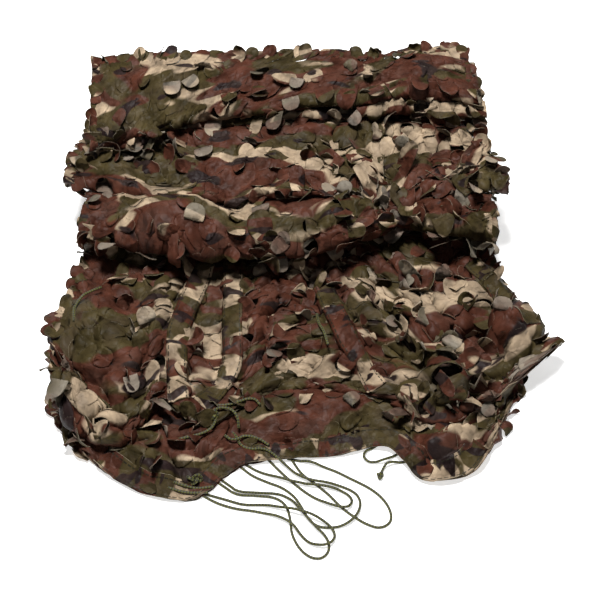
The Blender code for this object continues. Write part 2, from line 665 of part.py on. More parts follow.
def front_binding_line():
    """The middle of the tape along the free edge, half its width inside the edge."""
    shares = np.linspace(*FRONT_BINDING_SPAN, 24)
    edge = through(LINES["free_edge"], shares)
    forward = np.gradient(edge, axis=0)
    forward /= np.linalg.norm(forward, axis=1)[:, None]
    inside = np.column_stack([-forward[:, 1], forward[:, 0]])
    return edge + inside * (BINDING_WIDTH / 2 - BINDING_OVERHANG)


def main():
    clear_scene()
    origin = bpy.data.objects.new("net_origin", None)
    bpy.context.scene.collection.objects.link(origin)
    pile = Pile()
    grid, cells = folded_cloth()
    net = add_body("net_cloth", "net", *sheet_body(grid, CLOTH_THICKNESS, cells), origin)
    pile.add(net)
    tapes = [lay_tape("binding_front", front_binding_line(), pile, origin)]
    for name, middle in STRAPS.items():
        tapes.append(lay_tape(name, middle, pile, origin))
    for knot in KNOTS:
        add_knot(knot, pile, origin)
    for name, route in CORDS.items():
        lay_cord(name, route, pile, origin)
    corners = np.array([v.co for body in [net, *tapes] for v in body.data.vertices])
    middle = (corners.min(axis=0) + corners.max(axis=0)) / 2
    origin.location = (-middle[0], -middle[1], 0.0)


main()
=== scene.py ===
# %% [markdown]
# # A camouflage net, folded into three steps
# One thin polyester cloth, printed in four colours and cut into hundreds of rounded leaves,
# lies folded back and forth, with its edge tapes and its braided tie cords in front. This
# script repeats the CAD model's folds in finer steps, and cuts real leaves into them.

# %% The frame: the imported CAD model, which nothing here moves
import math
from collections import namedtuple

import bpy
import numpy as np
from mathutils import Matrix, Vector
from mathutils.bvhtree import BVHTree


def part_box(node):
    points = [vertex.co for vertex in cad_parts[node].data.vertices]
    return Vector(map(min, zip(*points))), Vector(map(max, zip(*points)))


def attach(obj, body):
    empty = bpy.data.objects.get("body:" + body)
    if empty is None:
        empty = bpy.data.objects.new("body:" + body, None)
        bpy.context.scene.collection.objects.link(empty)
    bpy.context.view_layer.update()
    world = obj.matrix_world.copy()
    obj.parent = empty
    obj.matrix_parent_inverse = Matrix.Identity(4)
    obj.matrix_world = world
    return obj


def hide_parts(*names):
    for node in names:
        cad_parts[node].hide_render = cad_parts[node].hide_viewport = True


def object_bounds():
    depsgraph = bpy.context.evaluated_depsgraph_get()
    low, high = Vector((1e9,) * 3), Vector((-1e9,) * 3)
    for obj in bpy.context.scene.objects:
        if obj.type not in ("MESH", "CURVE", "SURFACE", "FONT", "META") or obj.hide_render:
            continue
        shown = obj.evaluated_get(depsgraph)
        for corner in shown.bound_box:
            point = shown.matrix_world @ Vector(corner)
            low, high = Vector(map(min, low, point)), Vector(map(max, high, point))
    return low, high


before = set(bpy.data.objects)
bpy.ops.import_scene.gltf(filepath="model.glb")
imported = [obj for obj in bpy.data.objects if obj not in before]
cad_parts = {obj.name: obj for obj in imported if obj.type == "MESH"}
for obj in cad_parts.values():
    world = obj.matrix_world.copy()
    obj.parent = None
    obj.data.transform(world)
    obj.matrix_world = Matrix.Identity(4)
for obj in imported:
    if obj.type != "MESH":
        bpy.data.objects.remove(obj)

CAD_BOX = [list(corner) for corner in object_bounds()]
MM = 0.001
ORIGIN_SHIFT = np.array([0.000762, -0.033447])  # from the folding tables' origin to the frame's
print("CAD box in metres:", np.round(CAD_BOX, 4).tolist())

# %% [markdown]
# ## The camera
# A long lens shows the folds with hardly any perspective. It stands in front of the net and
# looks down on it at 50 degrees, so that the steps and the cords on the floor are all seen.

# %% The camera, in front of the net and above it
CAMERA_ELEVATION = math.radians(50.0)
CAMERA_DISTANCE = 1.5
CAMERA_TARGET = Vector((*ORIGIN_SHIFT, 0.050))
CAMERA_SENSOR = 36.0  # millimetres
CAMERA_LENS = 72.0
CAMERA_SHIFT_Y = -0.025

away = Vector((0.0, -math.cos(CAMERA_ELEVATION), math.sin(CAMERA_ELEVATION)))
camera = bpy.data.objects.new("camera", bpy.data.cameras.new("camera"))
camera.data.sensor_width = CAMERA_SENSOR
camera.data.lens = CAMERA_LENS
camera.data.shift_y = CAMERA_SHIFT_Y
camera.location = CAMERA_TARGET + away * CAMERA_DISTANCE
camera.rotation_euler = (-away).to_track_quat("-Z", "Y").to_euler()
bpy.context.scene.collection.objects.link(camera)
bpy.context.scene.camera = camera
print("camera at", np.round(camera.location, 3).tolist())

# %% [markdown]
# ## Small formulas and tables
# The cloth's shape is a sum of simple terms, each weighted by a straight ramp, a smooth step
# or a bell. Tables place the terms in whole millimetres, as on a drawing.

# %% Ramps, bells and tables in millimetres
def ramp(values, start, end):
    """From 0 at the start to 1 at the end in a straight line, and level outside them."""
    return np.clip((values - start) / (end - start), 0.0, 1.0)


def smooth_step(share):
    """3 s^2 - 2 s^3 of a share from 0 to 1: an s-curve that is level at both ends."""
    return share ** 2 * (3 - 2 * share)


def bell(x, y, row, power=1.0):
    """exp(-d^(2 power)), with d the distance from the row's place, counted in its reaches."""
    away = ((x - row.x) / row.reach_x) ** 2 + ((y - row.y) / row.reach_y) ** 2
    return np.exp(-away ** power)


def unit(vectors):
    """Vectors divided by their own lengths."""
    return vectors / np.linalg.norm(vectors, axis=-1, keepdims=True)


def in_metres(routes):
    """Named lines of points, from millimetres to arrays in metres."""
    return {name: np.array(points) / 1000 for name, points in routes.items()}


def grouped(kind, groups, plain=()):
    """Rows of a table that is grouped by its first column, from millimetres to metres.

    The columns named as plain stay as they are.
    """
    scales = [1 if field in plain else 1000 for field in kind._fields[1:]]
    return [kind(first, *(np.array(value) / scale for value, scale in zip(row, scales)))
            for first, rows in groups.items() for row in rows]

# %% [markdown]
# ## Smooth lines
# Cords, tapes and folds follow a line that is given by a few points. A cubic curve keeps it
# round between them, and equal steps along it give evenly spaced rings and rows.

# %% Curves through points
FINE_SHARES = 40  # points of the fine curve for each given point


def through(points, shares):
    """Smooth curve through evenly spaced points, read at shares from 0 to 1 of it.

    Between two points it is the cubic that meets both, with the mean slope of the steps
    before and after each.
    """
    points = np.asarray(points, dtype=float)
    spans = len(points) - 1
    at = np.clip(np.asarray(shares, dtype=float), 0.0, 1.0) * spans
    first = np.minimum(at.astype(int), spans - 1)
    t = (at - first)[:, None]
    slopes = np.gradient(points, axis=0)
    return (smooth_step(1 - t) * points[first] + smooth_step(t) * points[first + 1]
            + t * (1 - t) ** 2 * slopes[first] + t ** 2 * (t - 1) * slopes[first + 1])


def lengths_along(points):
    """Distance from the first point to each point: the running sum of the steps' lengths."""
    steps = np.linalg.norm(np.diff(points, axis=0), axis=1)
    return np.concatenate([[0.0], np.cumsum(steps)])


def read_along(run, points, at):
    """A line's points at given distances along it, straight between the points it has."""
    return np.stack([np.interp(at, run, column) for column in points.T], axis=1)


def evenly(points, spacing):
    """The smooth curve through the points, as points that lie about spacing apart."""
    fine = through(points, np.linspace(0.0, 1.0, FINE_SHARES * len(points)))
    run = lengths_along(fine)
    count = max(2, round(run[-1] / spacing) + 1)
    return read_along(run, fine, np.linspace(0.0, run[-1], count))

# %% [markdown]
# ## From arrays to a mesh
# Every new piece is an array of points and one of faces, and foreach_set puts them into a
# mesh much faster than one by one. The UV maps are in real metres, so that print and braid
# keep their true size, and cloth carries a mark for its paler back.

# %% Put points and faces into a mesh piece
def mesh_piece(name, points, faces, uv, material, back=None):
    """A mesh object at the origin from points (n, 3), faces (m, 3 or 4) and uv (n, 2).

    back marks each point of a cloth, 0 on its face and 1 on its back. A face that has both
    is part of the cut rim, and is shaded flat.
    """
    faces = np.asarray(faces, dtype=np.int32)
    corners = faces.shape[1]
    mesh = bpy.data.meshes.new(name)
    mesh.vertices.add(len(points))
    mesh.vertices.foreach_set("co", np.asarray(points, dtype=np.float32).ravel())
    mesh.loops.add(faces.size)
    mesh.loops.foreach_set("vertex_index", faces.ravel())
    mesh.polygons.add(len(faces))
    mesh.polygons.foreach_set("loop_start", np.arange(len(faces), dtype=np.int32) * corners)
    mesh.update(calc_edges=True)
    add_uv_map(mesh, "flat", uv)
    smooth = np.ones(len(faces), dtype=bool)
    if back is not None:
        attribute = mesh.attributes.new("back", "FLOAT", "POINT")
        attribute.data.foreach_set("value", np.asarray(back, dtype=np.float32))
        smooth = np.ptp(np.asarray(back)[faces], axis=1) == 0
    mesh.polygons.foreach_set("use_smooth", smooth)
    mesh.materials.append(material)
    mesh.validate()
    mesh.update()
    piece = bpy.data.objects.new(name, mesh)
    bpy.context.scene.collection.objects.link(piece)
    print(f"{name}: {len(points)} points, {len(faces) * (corners - 2)} triangles")
    return piece


def add_uv_map(mesh, name, uv):
    """A UV map from one place (u, v) for each point of a mesh."""
    corners = np.zeros(len(mesh.loops), dtype=np.int32)
    mesh.loops.foreach_get("vertex_index", corners)
    layer = mesh.uv_layers.new(name=name)
    layer.data.foreach_set("uv", np.asarray(uv, dtype=np.float32)[corners].ravel())


def dressed(piece, stands_for=None):
    """The piece, riding on the net's one body and instead of its CAD node."""
    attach(piece, "root")
    if stands_for is not None:
        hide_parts(stands_for)
    return piece


def grid_faces(rows, columns):
    """Quads between the points of a grid that is stored row by row."""
    at = np.arange(rows * columns).reshape(rows, columns)
    quads = np.stack([at[:-1, :-1], at[:-1, 1:], at[1:, 1:], at[1:, :-1]], axis=-1)
    return quads.reshape(-1, 4)


def cut_in_two(quads):
    """Each quad as two triangles that meet along the diagonal from its first corner."""
    return np.concatenate([quads[:, [0, 1, 2]], quads[:, [0, 2, 3]]])

# %% [markdown]
# ## Colours and nodes
# Colours are sRGB hex values, turned to linear light once. One small function adds any node,
# sets its values and links its sockets, so that a material reads as a list of its steps.

# %% Colour and node helpers
def linear(code):
    """sRGB hex to linear light: each channel divided by 12.92, or its 2.4th power curve."""
    channels = np.array([int(code[i:i + 2], 16) for i in (0, 2, 4)]) / 255.0
    low = channels / 12.92
    high = ((channels + 0.055) / 1.055) ** 2.4
    return (*np.where(channels <= 0.04045, low, high), 1.0)


def add_node(tree, kind, inputs=None, **settings):
    """Add a node, set its properties, fill its inputs or link them, and return its outputs."""
    node = tree.nodes.new("ShaderNode" + kind)
    for name, value in settings.items():
        setattr(node, name, value)
    for key, value in (inputs or {}).items():
        if isinstance(value, bpy.types.NodeSocket):
            tree.links.new(value, node.inputs[key])
        else:
            node.inputs[key].default_value = value
    return node.outputs


def new_material(name, roughness, sheen=0.0, specular=0.5):
    """A material with one Principled shader: returns it, its tree and its shader."""
    material = bpy.data.materials.new(name)
    material.use_nodes = True
    shader = material.node_tree.nodes["Principled BSDF"]
    shader.inputs["Roughness"].default_value = roughness
    shader.inputs["Sheen Weight"].default_value = sheen
    shader.inputs["Specular IOR Level"].default_value = specular
    return material, material.node_tree, shader

# %% [markdown]
# ## The braided tie cord
# The real cord is a satin 3 mm braid of olive and black polyester yarns: eight strands that
# cross in two opposite screws. On its UV map u runs along it and v round it.

# %% Braided polyester cord: olive with black strands, and painted shade where they dip
BRAID_PITCH = 7.0 * MM  # one turn of a strand; drawn coarser than the real 4 mm
BRAID_GIRTH = 10.0 * MM  # once round the cord
BLACK_AND_SHADE_FROM, BLACK_AND_SHADE_TO = -0.35, 0.15  # levels of the braid's waves between olive and black yarn with painted shade


def braided_cord():
    """Two sets of slanted bands on the UV map: black yarn, with painted shade where a strand dips
    under another.
    """
    material, tree, shader = new_material("braided_polyester_cord", 0.55, sheen=0.1)
    uv = add_node(tree, "UVMap", uv_map="flat")[0]
    run, turn = add_node(tree, "SeparateXYZ", {0: uv})[:2]
    along = add_node(tree, "Math", {0: run, 1: 2 * math.pi / BRAID_PITCH}, operation="MULTIPLY")[0]
    around = add_node(tree, "Math", {0: turn, 1: 4 * math.pi / BRAID_GIRTH},
                      operation="MULTIPLY")[0]
    screws = {}
    for order, way in enumerate(("ADD", "SUBTRACT")):
        angle = add_node(tree, "Math", {0: along, 1: around}, operation=way)[0]
        screws[order] = add_node(tree, "Math", {0: angle}, operation="SINE")[0]
    crossing = add_node(tree, "Math", screws, operation="MULTIPLY")[0]
    # one mask for the black yarn and for the painted shade where a strand dips under another
    black_yarn_and_shade = add_node(tree, "MapRange", {0: crossing, 1: BLACK_AND_SHADE_FROM, 2: BLACK_AND_SHADE_TO})[0]
    yarn = add_node(tree, "TexNoise", {"Vector": uv, "Scale": 220.0, "Detail": 2.0})["Fac"]
    olive = add_node(tree, "Mix", {0: yarn, 6: linear("3b3b14"), 7: linear("6b6a28")},
                     data_type="RGBA")[2]
    colour = add_node(tree, "Mix", {0: black_yarn_and_shade, 6: olive, 7: linear("17170d")}, data_type="RGBA")[2]
    bump = add_node(tree, "Bump", {"Height": crossing, "Strength": 0.5, "Distance": 0.3 * MM})[0]
    tree.links.new(colour, shader.inputs["Base Color"])
    tree.links.new(bump, shader.inputs["Normal"])
    return material


CORD = braided_cord()

# %% [markdown]
# ## Where the cords lie
# Limp cord lies on whatever is under it: the floor, the net, or another cord. The routes are
# the CAD model's, and each height comes from rays cast straight down on the CAD solids.
# Where a cord crosses another one it rises over it in a long low hump.

# %% The cords' routes on the floor, in millimetres
CORD_DIAMETER = 3.2 * MM
CORD_RADIUS = CORD_DIAMETER / 2
CORD_STEP = 2.7 * CORD_DIAMETER
CORD_CLEARANCE = 0.35 * MM
CORD_OFF_FLOOR = 0.1 * MM
CORD_RISE_LENGTH = 26.0 * MM
CORD_LOOK_STEP = CORD_DIAMETER / 3
CORD_OWN_STRETCH = 4 * CORD_DIAMETER
CORD_LAYINGS = 3  # rounds in which a cord settles over its own stretches

CORDS = in_metres({
    "cord_outer_loop": [(0, -226), (13, -229), (39, -239), (57, -249), (79, -262), (93, -275),
        (101, -290), (101, -304), (90, -312), (75, -308), (60, -298), (46, -286), (33, -271),
        (18, -257), (4, -245), (-4, -234), (-8, -227)],
    "cord_inner_loop": [(-30, -232), (-21, -242), (-9, -254), (11, -271), (32, -283), (48, -288),
        (57, -285), (58, -276), (50, -268), (38, -263), (24, -260), (9, -258), (-10, -254),
        (-30, -247), (-48, -240), (-58, -234)],
    "cord_arched_loop": [(-94, -183), (-82, -186), (-74, -196), (-68, -208), (-56, -212),
        (-42, -212), (-30, -220), (-18, -232), (-2, -246), (14, -253), (32, -256), (50, -261),
        (64, -270), (68, -283), (63, -298), (52, -308), (38, -312), (22, -311), (11, -303),
        (3, -289), (-6, -274), (-20, -262), (-38, -254), (-54, -246), (-64, -238)],
    "cord_far_loop": [(-80, -259), (-69, -266), (-46, -268), (-24, -270), (-10, -278), (0, -290),
        (10, -303), (20, -315), (29, -325), (32, -336), (28, -346), (19, -350), (8, -346),
        (-2, -335), (-9, -319), (-11, -302), (-16, -285), (-28, -275), (-47, -272), (-71, -270),
        (-84, -262)],
    "cord_low_loop": [(-100, -272), (-84, -277), (-64, -283), (-42, -284), (-18, -289), (0, -294),
        (16, -300), (30, -309), (38, -320), (36, -330), (26, -335), (12, -332), (1, -322),
        (-10, -308), (-28, -298), (-50, -292), (-74, -288), (-94, -281), (-108, -273)],
    "cord_right_loop": [(84, -209), (77, -214), (74, -221), (79, -227), (90, -228), (100, -225),
        (110, -219)],
    "cord_right_tail": [(116, -228), (108, -229), (100, -232), (95, -239), (92, -247)],
    "cord_middle_tie": [(21, -36), (23, -52), (29, -68), (34, -88)],
    "cord_left_side": [(-248, -4), (-266, -22), (-275, -44), (-273, -66)],
})


# %% Rays from above, and heights that clear what lies below
SKY = 1.0  # where the rays start, high over everything


def grid_tree(grid):
    """A grid of points as a surface for rays."""
    return BVHTree.FromPolygons(grid.reshape(-1, 3).tolist(),
                                grid_faces(*grid.shape[:2]).tolist())


def node_tree(node):
    """A CAD solid as a surface for rays."""
    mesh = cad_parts[node].data
    return BVHTree.FromPolygons([v.co.copy() for v in mesh.vertices],
                                [tuple(p.vertices) for p in mesh.polygons])


def top_of(tree, x, y):
    """Height of a surface over (x, y), met by a ray from above, or None beside it."""
    hit = tree.ray_cast(Vector((x, y, SKY)), Vector((0.0, 0.0, -1.0)))[0]
    return None if hit is None else hit.z


class Pile:
    """What lies on the floor so far: surfaces for rays, and the centrelines of cords."""

    def __init__(self, trees, cords=()):
        self.trees = trees
        self.cords = list(cords)

    def top(self, x, y):
        """Height of the highest surface over (x, y), or of the floor."""
        return max([0.0, *[top_of(tree, x, y) or 0.0 for tree in self.trees]])


def spread_up(needed, run, reach):
    """Lowest smooth heights that meet every needed one: the highest of a cosine hump each."""
    apart = np.minimum(np.abs(run[:, None] - run[None, :]) / reach, 1.0)
    fall = 0.5 + 0.5 * np.cos(math.pi * apart)
    floor = needed.min()
    return floor + ((needed - floor)[None, :] * fall).max(axis=1)


def at_points(needed, fine_run, run):
    """The needed height at each coarse point, which also covers the stretches beside it."""
    near = np.abs(run[:, None] - fine_run[None, :]) <= run[1] - run[0] + CORD_LOOK_STEP
    return np.where(near, needed[None, :], 0.0).max(axis=1)


def clearing_height(fine, other, counts=True):
    """Height at which each point clears another cord: its height plus a round's height.

    counts says which pairs of points count: all of them, or the same cord's earlier ones.
    """
    apart = CORD_DIAMETER + CORD_CLEARANCE
    flat = np.linalg.norm(fine[:, None, :2] - other[None, :, :2], axis=2)
    over = np.sqrt(np.clip(apart ** 2 - flat ** 2, 0.0, None))
    return np.where((flat < apart) & counts, other[None, :, 2] + over, 0.0).max(axis=1)


def laid_cord(route, pile):
    """A cord's centreline: its route at even steps, at the height that clears all below."""
    path = evenly(route + ORIGIN_SHIFT, CORD_STEP)
    run = lengths_along(path)
    fine_run = np.arange(0.0, run[-1], CORD_LOOK_STEP)
    fine = read_along(run, path, fine_run)
    needed = np.full(len(fine), CORD_RADIUS + CORD_OFF_FLOOR)
    around = CORD_RADIUS * np.array([(0, 0), (1, 0), (-1, 0), (0, 1), (0, -1)])
    for i, place in enumerate(fine):
        top = max(pile.top(x, y) for x, y in place + around)
        if top > 0:
            needed[i] = max(needed[i], top + CORD_CLEARANCE + CORD_RADIUS)
    for other in pile.cords:
        needed = np.maximum(needed, clearing_height(fine, other))
    earlier = fine_run[:, None] - fine_run[None, :] > CORD_OWN_STRETCH
    heights = spread_up(at_points(needed, fine_run, run), run, CORD_RISE_LENGTH)
    for _ in range(CORD_LAYINGS):
        own = np.column_stack([fine, np.interp(fine_run, run, heights)])
        later = np.maximum(needed, clearing_height(own, own, earlier))
        heights = spread_up(at_points(later, fine_run, run), run, CORD_RISE_LENGTH)
    pile.cords.append(np.column_stack([fine, np.interp(fine_run, run, heights)]))
    return np.column_stack([path, heights])


# %% Cord ends that go in under the net
TUCK = 15.0 * MM  # how far an end goes on below the net's edge
TUCK_STEPS = 2
BOTH_ENDS = (True, True)
TUCKED = {"cord_outer_loop": BOTH_ENDS, "cord_inner_loop": BOTH_ENDS,
          "cord_arched_loop": (False, True), "cord_far_loop": BOTH_ENDS,
          "cord_low_loop": BOTH_ENDS, "cord_right_loop": BOTH_ENDS,
          "cord_right_tail": (True, False)}    # the first end, the last end


def tucked(line):
    """A cord's line with its last point led down to the floor and on, straight ahead."""
    low = CORD_RADIUS + CORD_OFF_FLOOR
    run = lengths_along(line)
    share = ramp(run[-1] - run, 0.0, TUCK)
    line = line.copy()
    line[:, 2] = low + (line[:, 2] - low) * smooth_step(share)
    ahead = unit((line[-1] - line[-2]) * [1, 1, 0])
    steps = np.arange(1, TUCK_STEPS + 1)[:, None] * TUCK / TUCK_STEPS
    return np.concatenate([line, line[-1] + steps * ahead])

# %% [markdown]
# ## The cord as a tube
# A ring of points is carried along the centreline and doesn't turn about it, so the braid
# stays even. Its strands stand up a little from the surface.

# %% Carry a ring along a line
TUBE_SIDES = 12
TUBE_STEP = 1.2 * MM
BRAID_RELIEF = 0.05  # how far the strands stand up, as a share of the radius


def tube(path):
    """Points, faces and uv of a closed tube along a path, and the line that it follows.

    Each ring lies across the path's direction, with its sideways axis level. The radius
    swells where two opposite screws of strands meet.
    """
    line = evenly(path, TUBE_STEP)
    line[:, 2] = np.maximum(line[:, 2], CORD_RADIUS + CORD_OFF_FLOOR)
    forward = unit(np.gradient(line, axis=0))
    aside = unit(np.cross(forward, [0.0, 0.0, 1.0]))
    upward = np.cross(aside, forward)
    turn = np.linspace(0.0, 2 * math.pi, TUBE_SIDES, endpoint=False)
    run = lengths_along(line)
    screw = 2 * math.pi * run[:, None] / BRAID_PITCH
    strands = np.abs(np.sin(screw + 2 * turn) * np.sin(screw - 2 * turn))
    swell = CORD_RADIUS * (1.0 - BRAID_RELIEF / 2 + BRAID_RELIEF * strands)
    rings = (line[:, None, :] + swell[:, :, None] * (aside[:, None, :] * np.cos(turn)[:, None]
             + upward[:, None, :] * np.sin(turn)[:, None]))
    points = np.concatenate([rings.reshape(-1, 3), line[:1], line[-1:]])
    uv = np.stack(np.meshgrid(run, turn * CORD_RADIUS, indexing="ij"), axis=-1).reshape(-1, 2)
    uv = np.concatenate([uv, [[0.0, 0.0], [run[-1], 0.0]]])
    at = np.arange(len(line) * TUBE_SIDES).reshape(-1, TUBE_SIDES)
    beside = np.roll(at, -1, axis=1)
    walls = np.stack([at[1:], beside[1:], beside[:-1], at[:-1]], axis=-1).reshape(-1, 4)
    caps = [np.stack([np.full(TUBE_SIDES, at.size + end), *ring], axis=1)
            for end, ring in enumerate([(at[0], beside[0]), (beside[-1], at[-1])])]
    return points, np.concatenate([cut_in_two(walls), *caps]), uv, line


def cord_piece(name, path, stands_for=None):
    """A braided cord along a path: its piece, and its centreline."""
    points, faces, uv, line = tube(path)
    piece = mesh_piece(name + "_braid", points, faces, uv, CORD)
    return dressed(piece, stands_for), line


# %% The cords, laid one after another
KNOT_NODES = ["cord_knot_upper", "cord_knot_front"]
under_cords = [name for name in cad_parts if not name.startswith("cord_")] + KNOT_NODES
pile = Pile([node_tree(name) for name in under_cords])
cord_lines, cord_pieces, tuck_lines = {}, {}, []
for name, route in CORDS.items():
    line = laid_cord(route, pile)
    first_inside, last_inside = TUCKED.get(name, (False, False))
    if first_inside:
        line = tucked(line[::-1])[::-1]
        tuck_lines.append(line[[0, TUCK_STEPS], :2])
    if last_inside:
        line = tucked(line)
        tuck_lines.append(line[[-1 - TUCK_STEPS, -1], :2])
    cord_pieces[name], cord_lines[name] = cord_piece(name, line, name)

# %% [markdown]
# ## How the cloth is folded
# The net is one strip, folded back and forth like a curtain. Its layers are heights over the
# floor with some space between, so they never cut through each other, and a round fold joins
# each one to the next. Lumps and creases, listed in tables, shape the thick roll of the middle step
# and the loose bunches in front. These are the CAD model's own folds.

# %% The folding tables, in millimetres
CLOTH_THICKNESS = 2.0 * MM  # of the CAD solid, whose middle the real cloth follows
SIDE_SCATTER = 5.0 * MM
UNEVENNESS = 0.22
MIN_SPACE = 6.5 * MM
FLAT_BELOW = 0.4 * MM
FOLD_ROUNDNESS = 0.5
FOLD_SEED = 7
WANDER = 4.0 * MM

LINES = in_metres({
    "back": [(-270, 326), (-140, 333), (0, 330), (120, 337), (236, 331)],
    "top_edge": [(-280, 326), (-205, 334), (-120, 336), (-30, 343), (50, 339), (105, 330),
        (160, 346), (230, 341)],
    "free_edge": [(-258, -214), (-214, -250), (-168, -273), (-116, -275), (-72, -235),
        (-12, -225), (45, -219), (100, -210), (142, -254), (200, -240), (240, -168)],
    "low_fold": [(-288, -136), (-250, -166), (-200, -182), (-155, -160), (-98, -160), (-36, -130),
        (30, -126), (94, -142), (148, -180), (206, -172), (252, -116)],
    "roll": [(-282, 84), (-200, 70), (-110, 54), (-20, 56), (80, 82), (170, 94), (248, 80)],
    "shelf": [(-306, 150), (-200, 118), (-110, 106), (-20, 112), (80, 106), (170, 112),
        (266, 128)],
    "top_under": [(-276, 180), (-210, 198), (-130, 238), (-50, 248), (60, 246), (150, 252),
        (246, 240)],
    "top": [(-270, 196), (-200, 212), (-130, 250), (-50, 262), (60, 256), (150, 266), (238, 254)],
})

# covered: the share of the layer's depth, from the back, that lies under the layers above.
# crumple: how far the cloth of a layer's shown part stands in and out of its smooth form.
Layer = namedtuple("Layer", "name space back front covered crumple")
LAYERS = [
    Layer("floor", 0 * MM, "back", "free_edge", 0.78, 6.0 * MM),
    Layer("lower", 13 * MM, "back", "low_fold", 1.00, 2.0 * MM),
    Layer("spread", 13 * MM, "back", "low_fold", 0.56, 12.0 * MM),
    Layer("roll_under", 16 * MM, "back", "roll", 1.00, 2.0 * MM),
    Layer("roll_over", 17 * MM, "back", "roll", 0.72, 6.5 * MM),
    Layer("shelf_under", 16 * MM, "back", "shelf", 1.00, 2.0 * MM),
    Layer("shelf", 15 * MM, "back", "shelf", 0.40, 9.0 * MM),
    Layer("top_lowest", 13 * MM, "back", "top_under", 1.00, 2.0 * MM),
    Layer("top_lower", 13 * MM, "back", "top_under", 0.86, 6.0 * MM),
    Layer("top_under", 13 * MM, "back", "top", 1.00, 2.0 * MM),
    Layer("top", 14 * MM, "top_edge", "top", 0.00, 4.5 * MM),
]
LAYER_NAMES = [layer.name for layer in LAYERS]

Lump = namedtuple("Lump", "layer x y reach_x reach_y height")
LUMPS = grouped(Lump, {
    "floor": [
        (172, -230, 40, 24, 9),  # right front lobe, off the floor
        (-150, -252, 45, 16, 5)],  # left front flap
    "spread": [
        (-255, -50, 55, 50, 34),  # left bunch, its top
        (-268, -145, 55, 45, 32),  # left bunch, its front
        (-175, -80, 40, 90, 20),  # ridge beside the left bunch
        (-60, -60, 45, 60, 12),  # middle, its left side
        (60, -70, 50, 55, 18),  # middle, its right side
        (160, -30, 55, 45, 30),  # right bunch, its top
        (262, -66, 50, 45, 30),  # right bunch, its side
        (178, -140, 55, 45, 36)],  # right bunch, its front
    "roll_under": [
        (0, 50, 400, 50, 10)],  # space under the roll
    "roll_over": [
        (-170, 66, 170, 65, 34),  # the roll's left half
        (60, 80, 120, 55, 22),  # the roll's middle
        (230, 90, 70, 60, 30)],  # the roll's right end
    "shelf": [
        (250, 150, 35, 50, 12),  # gathered right end
        (-60, 180, 90, 40, 8), (-270, 170, 50, 40, 9)],
    "top": [
        (-180, 275, 70, 35, 8), (120, 295, 80, 35, 9)],
})

Crease = namedtuple("Crease", "layer x0 y0 x1 y1 reach height")
CREASES = grouped(Crease, {
    "spread": [
        (-168, -200, -275, -100, 18, -17),  # left bunch, splayed
        (-165, -200, -215, -20, 17, -15),  # from its front hollow
        (-160, -190, -165, -120, 20, -14),
        (-120, 30, -105, -160, 16, -10),  # beside the strap
        (0, 20, 20, -120, 18, -9),  # middle
        (110, 20, 85, -150, 18, -12),  # inside the right bunch
        (213, -80, 235, -170, 18, -18),  # right bunch, splayed
        (213, -80, 120, -95, 16, -15),  # from its hollow
        (213, -80, 245, -10, 16, -16)],
    "roll_over": [
        (-90, 110, -70, 20, 22, -12),  # dents in the roll
        (120, 120, 135, 30, 24, -14)],
    "shelf": [
        (-240, 200, -180, 110, 20, -6), (30, 220, 70, 110, 22, -6)],
    "top": [
        (-60, 320, -20, 250, 20, -4)],
})

# A side swings out from a layer's plan, most at the peak, a share of the way to its front.
SideSwing = namedtuple("SideSwing", "layer side out peak rise fall")
SIDE_SWINGS = [
    SideSwing("floor", "left", -44 * MM, 0.86, 4.0, 0.5),
    SideSwing("floor", "right", 44 * MM, 0.84, 5.0, 0.9),
    SideSwing("lower", "left", -24 * MM, 0.86, 4.0, 0.5),
    SideSwing("lower", "right", 52 * MM, 0.90, 6.0, 0.9),
    SideSwing("spread", "left", -18 * MM, 0.85, 4.5, 0.6),
    SideSwing("spread", "right", 68 * MM, 0.92, 6.0, 0.9),
]

Wave = namedtuple("Wave", "length_x length_y share")
WAVES = [Wave(310 * MM, 240 * MM, 0.40), Wave(170 * MM, -210 * MM, 0.35),
         Wave(-110 * MM, 150 * MM, 0.25)]
LAYER_PHASE, WAVE_PHASE = 2.1, 1.7


# %% Heights of the layers
def unevenness(number, x, y):
    """Sum of three long waves, between about -1 and 1, in other phases for each layer."""
    total = np.zeros_like(x)
    for order, wave in enumerate(WAVES):
        phase = LAYER_PHASE * number + WAVE_PHASE * order
        total += wave.share * np.sin(2 * math.pi * (x / wave.length_x + y / wave.length_y) + phase)
    return total


def from_lines(lines, x, y):
    """Distance of each (x, y) from the nearest of some lines, each of straight runs."""
    closest = np.full_like(x, 1.0)
    for line in lines:
        for (x0, y0), (x1, y1) in zip(line[:-1], line[1:]):
            run_x, run_y = x1 - x0, y1 - y0
            share = ((x - x0) * run_x + (y - y0) * run_y) / (run_x ** 2 + run_y ** 2)
            share = np.clip(share, 0.0, 1.0)
            away = np.hypot(x - x0 - share * run_x, y - y0 - share * run_y)
            closest = np.minimum(closest, away)
    return closest


def space_under(number, x, y):
    """Space below a layer: its own, more or less by the waves, plus bell-shaped lumps."""
    layer = LAYERS[number]
    space = np.full_like(x, layer.space)
    if number > 0:
        space *= 1.0 + UNEVENNESS * unevenness(number, x, y)
    for lump in LUMPS:
        if lump.layer == layer.name:
            space += lump.height * bell(x, y, lump)
    for crease in CREASES:
        if crease.layer == layer.name:
            ends = [(crease.x0, crease.y0), (crease.x1, crease.y1)]
            space += crease.height * np.exp(-(from_lines([ends], x, y) / crease.reach) ** 2)
    if number == 0:
        return np.maximum(space - FLAT_BELOW, 0.0)
    return np.maximum(space, MIN_SPACE)


def height_of(number, x, y):
    """Height of a layer's middle: half the cloth plus the spaces under it, added up."""
    return CLOTH_THICKNESS / 2 + sum(space_under(below, x, y) for below in range(number + 1))


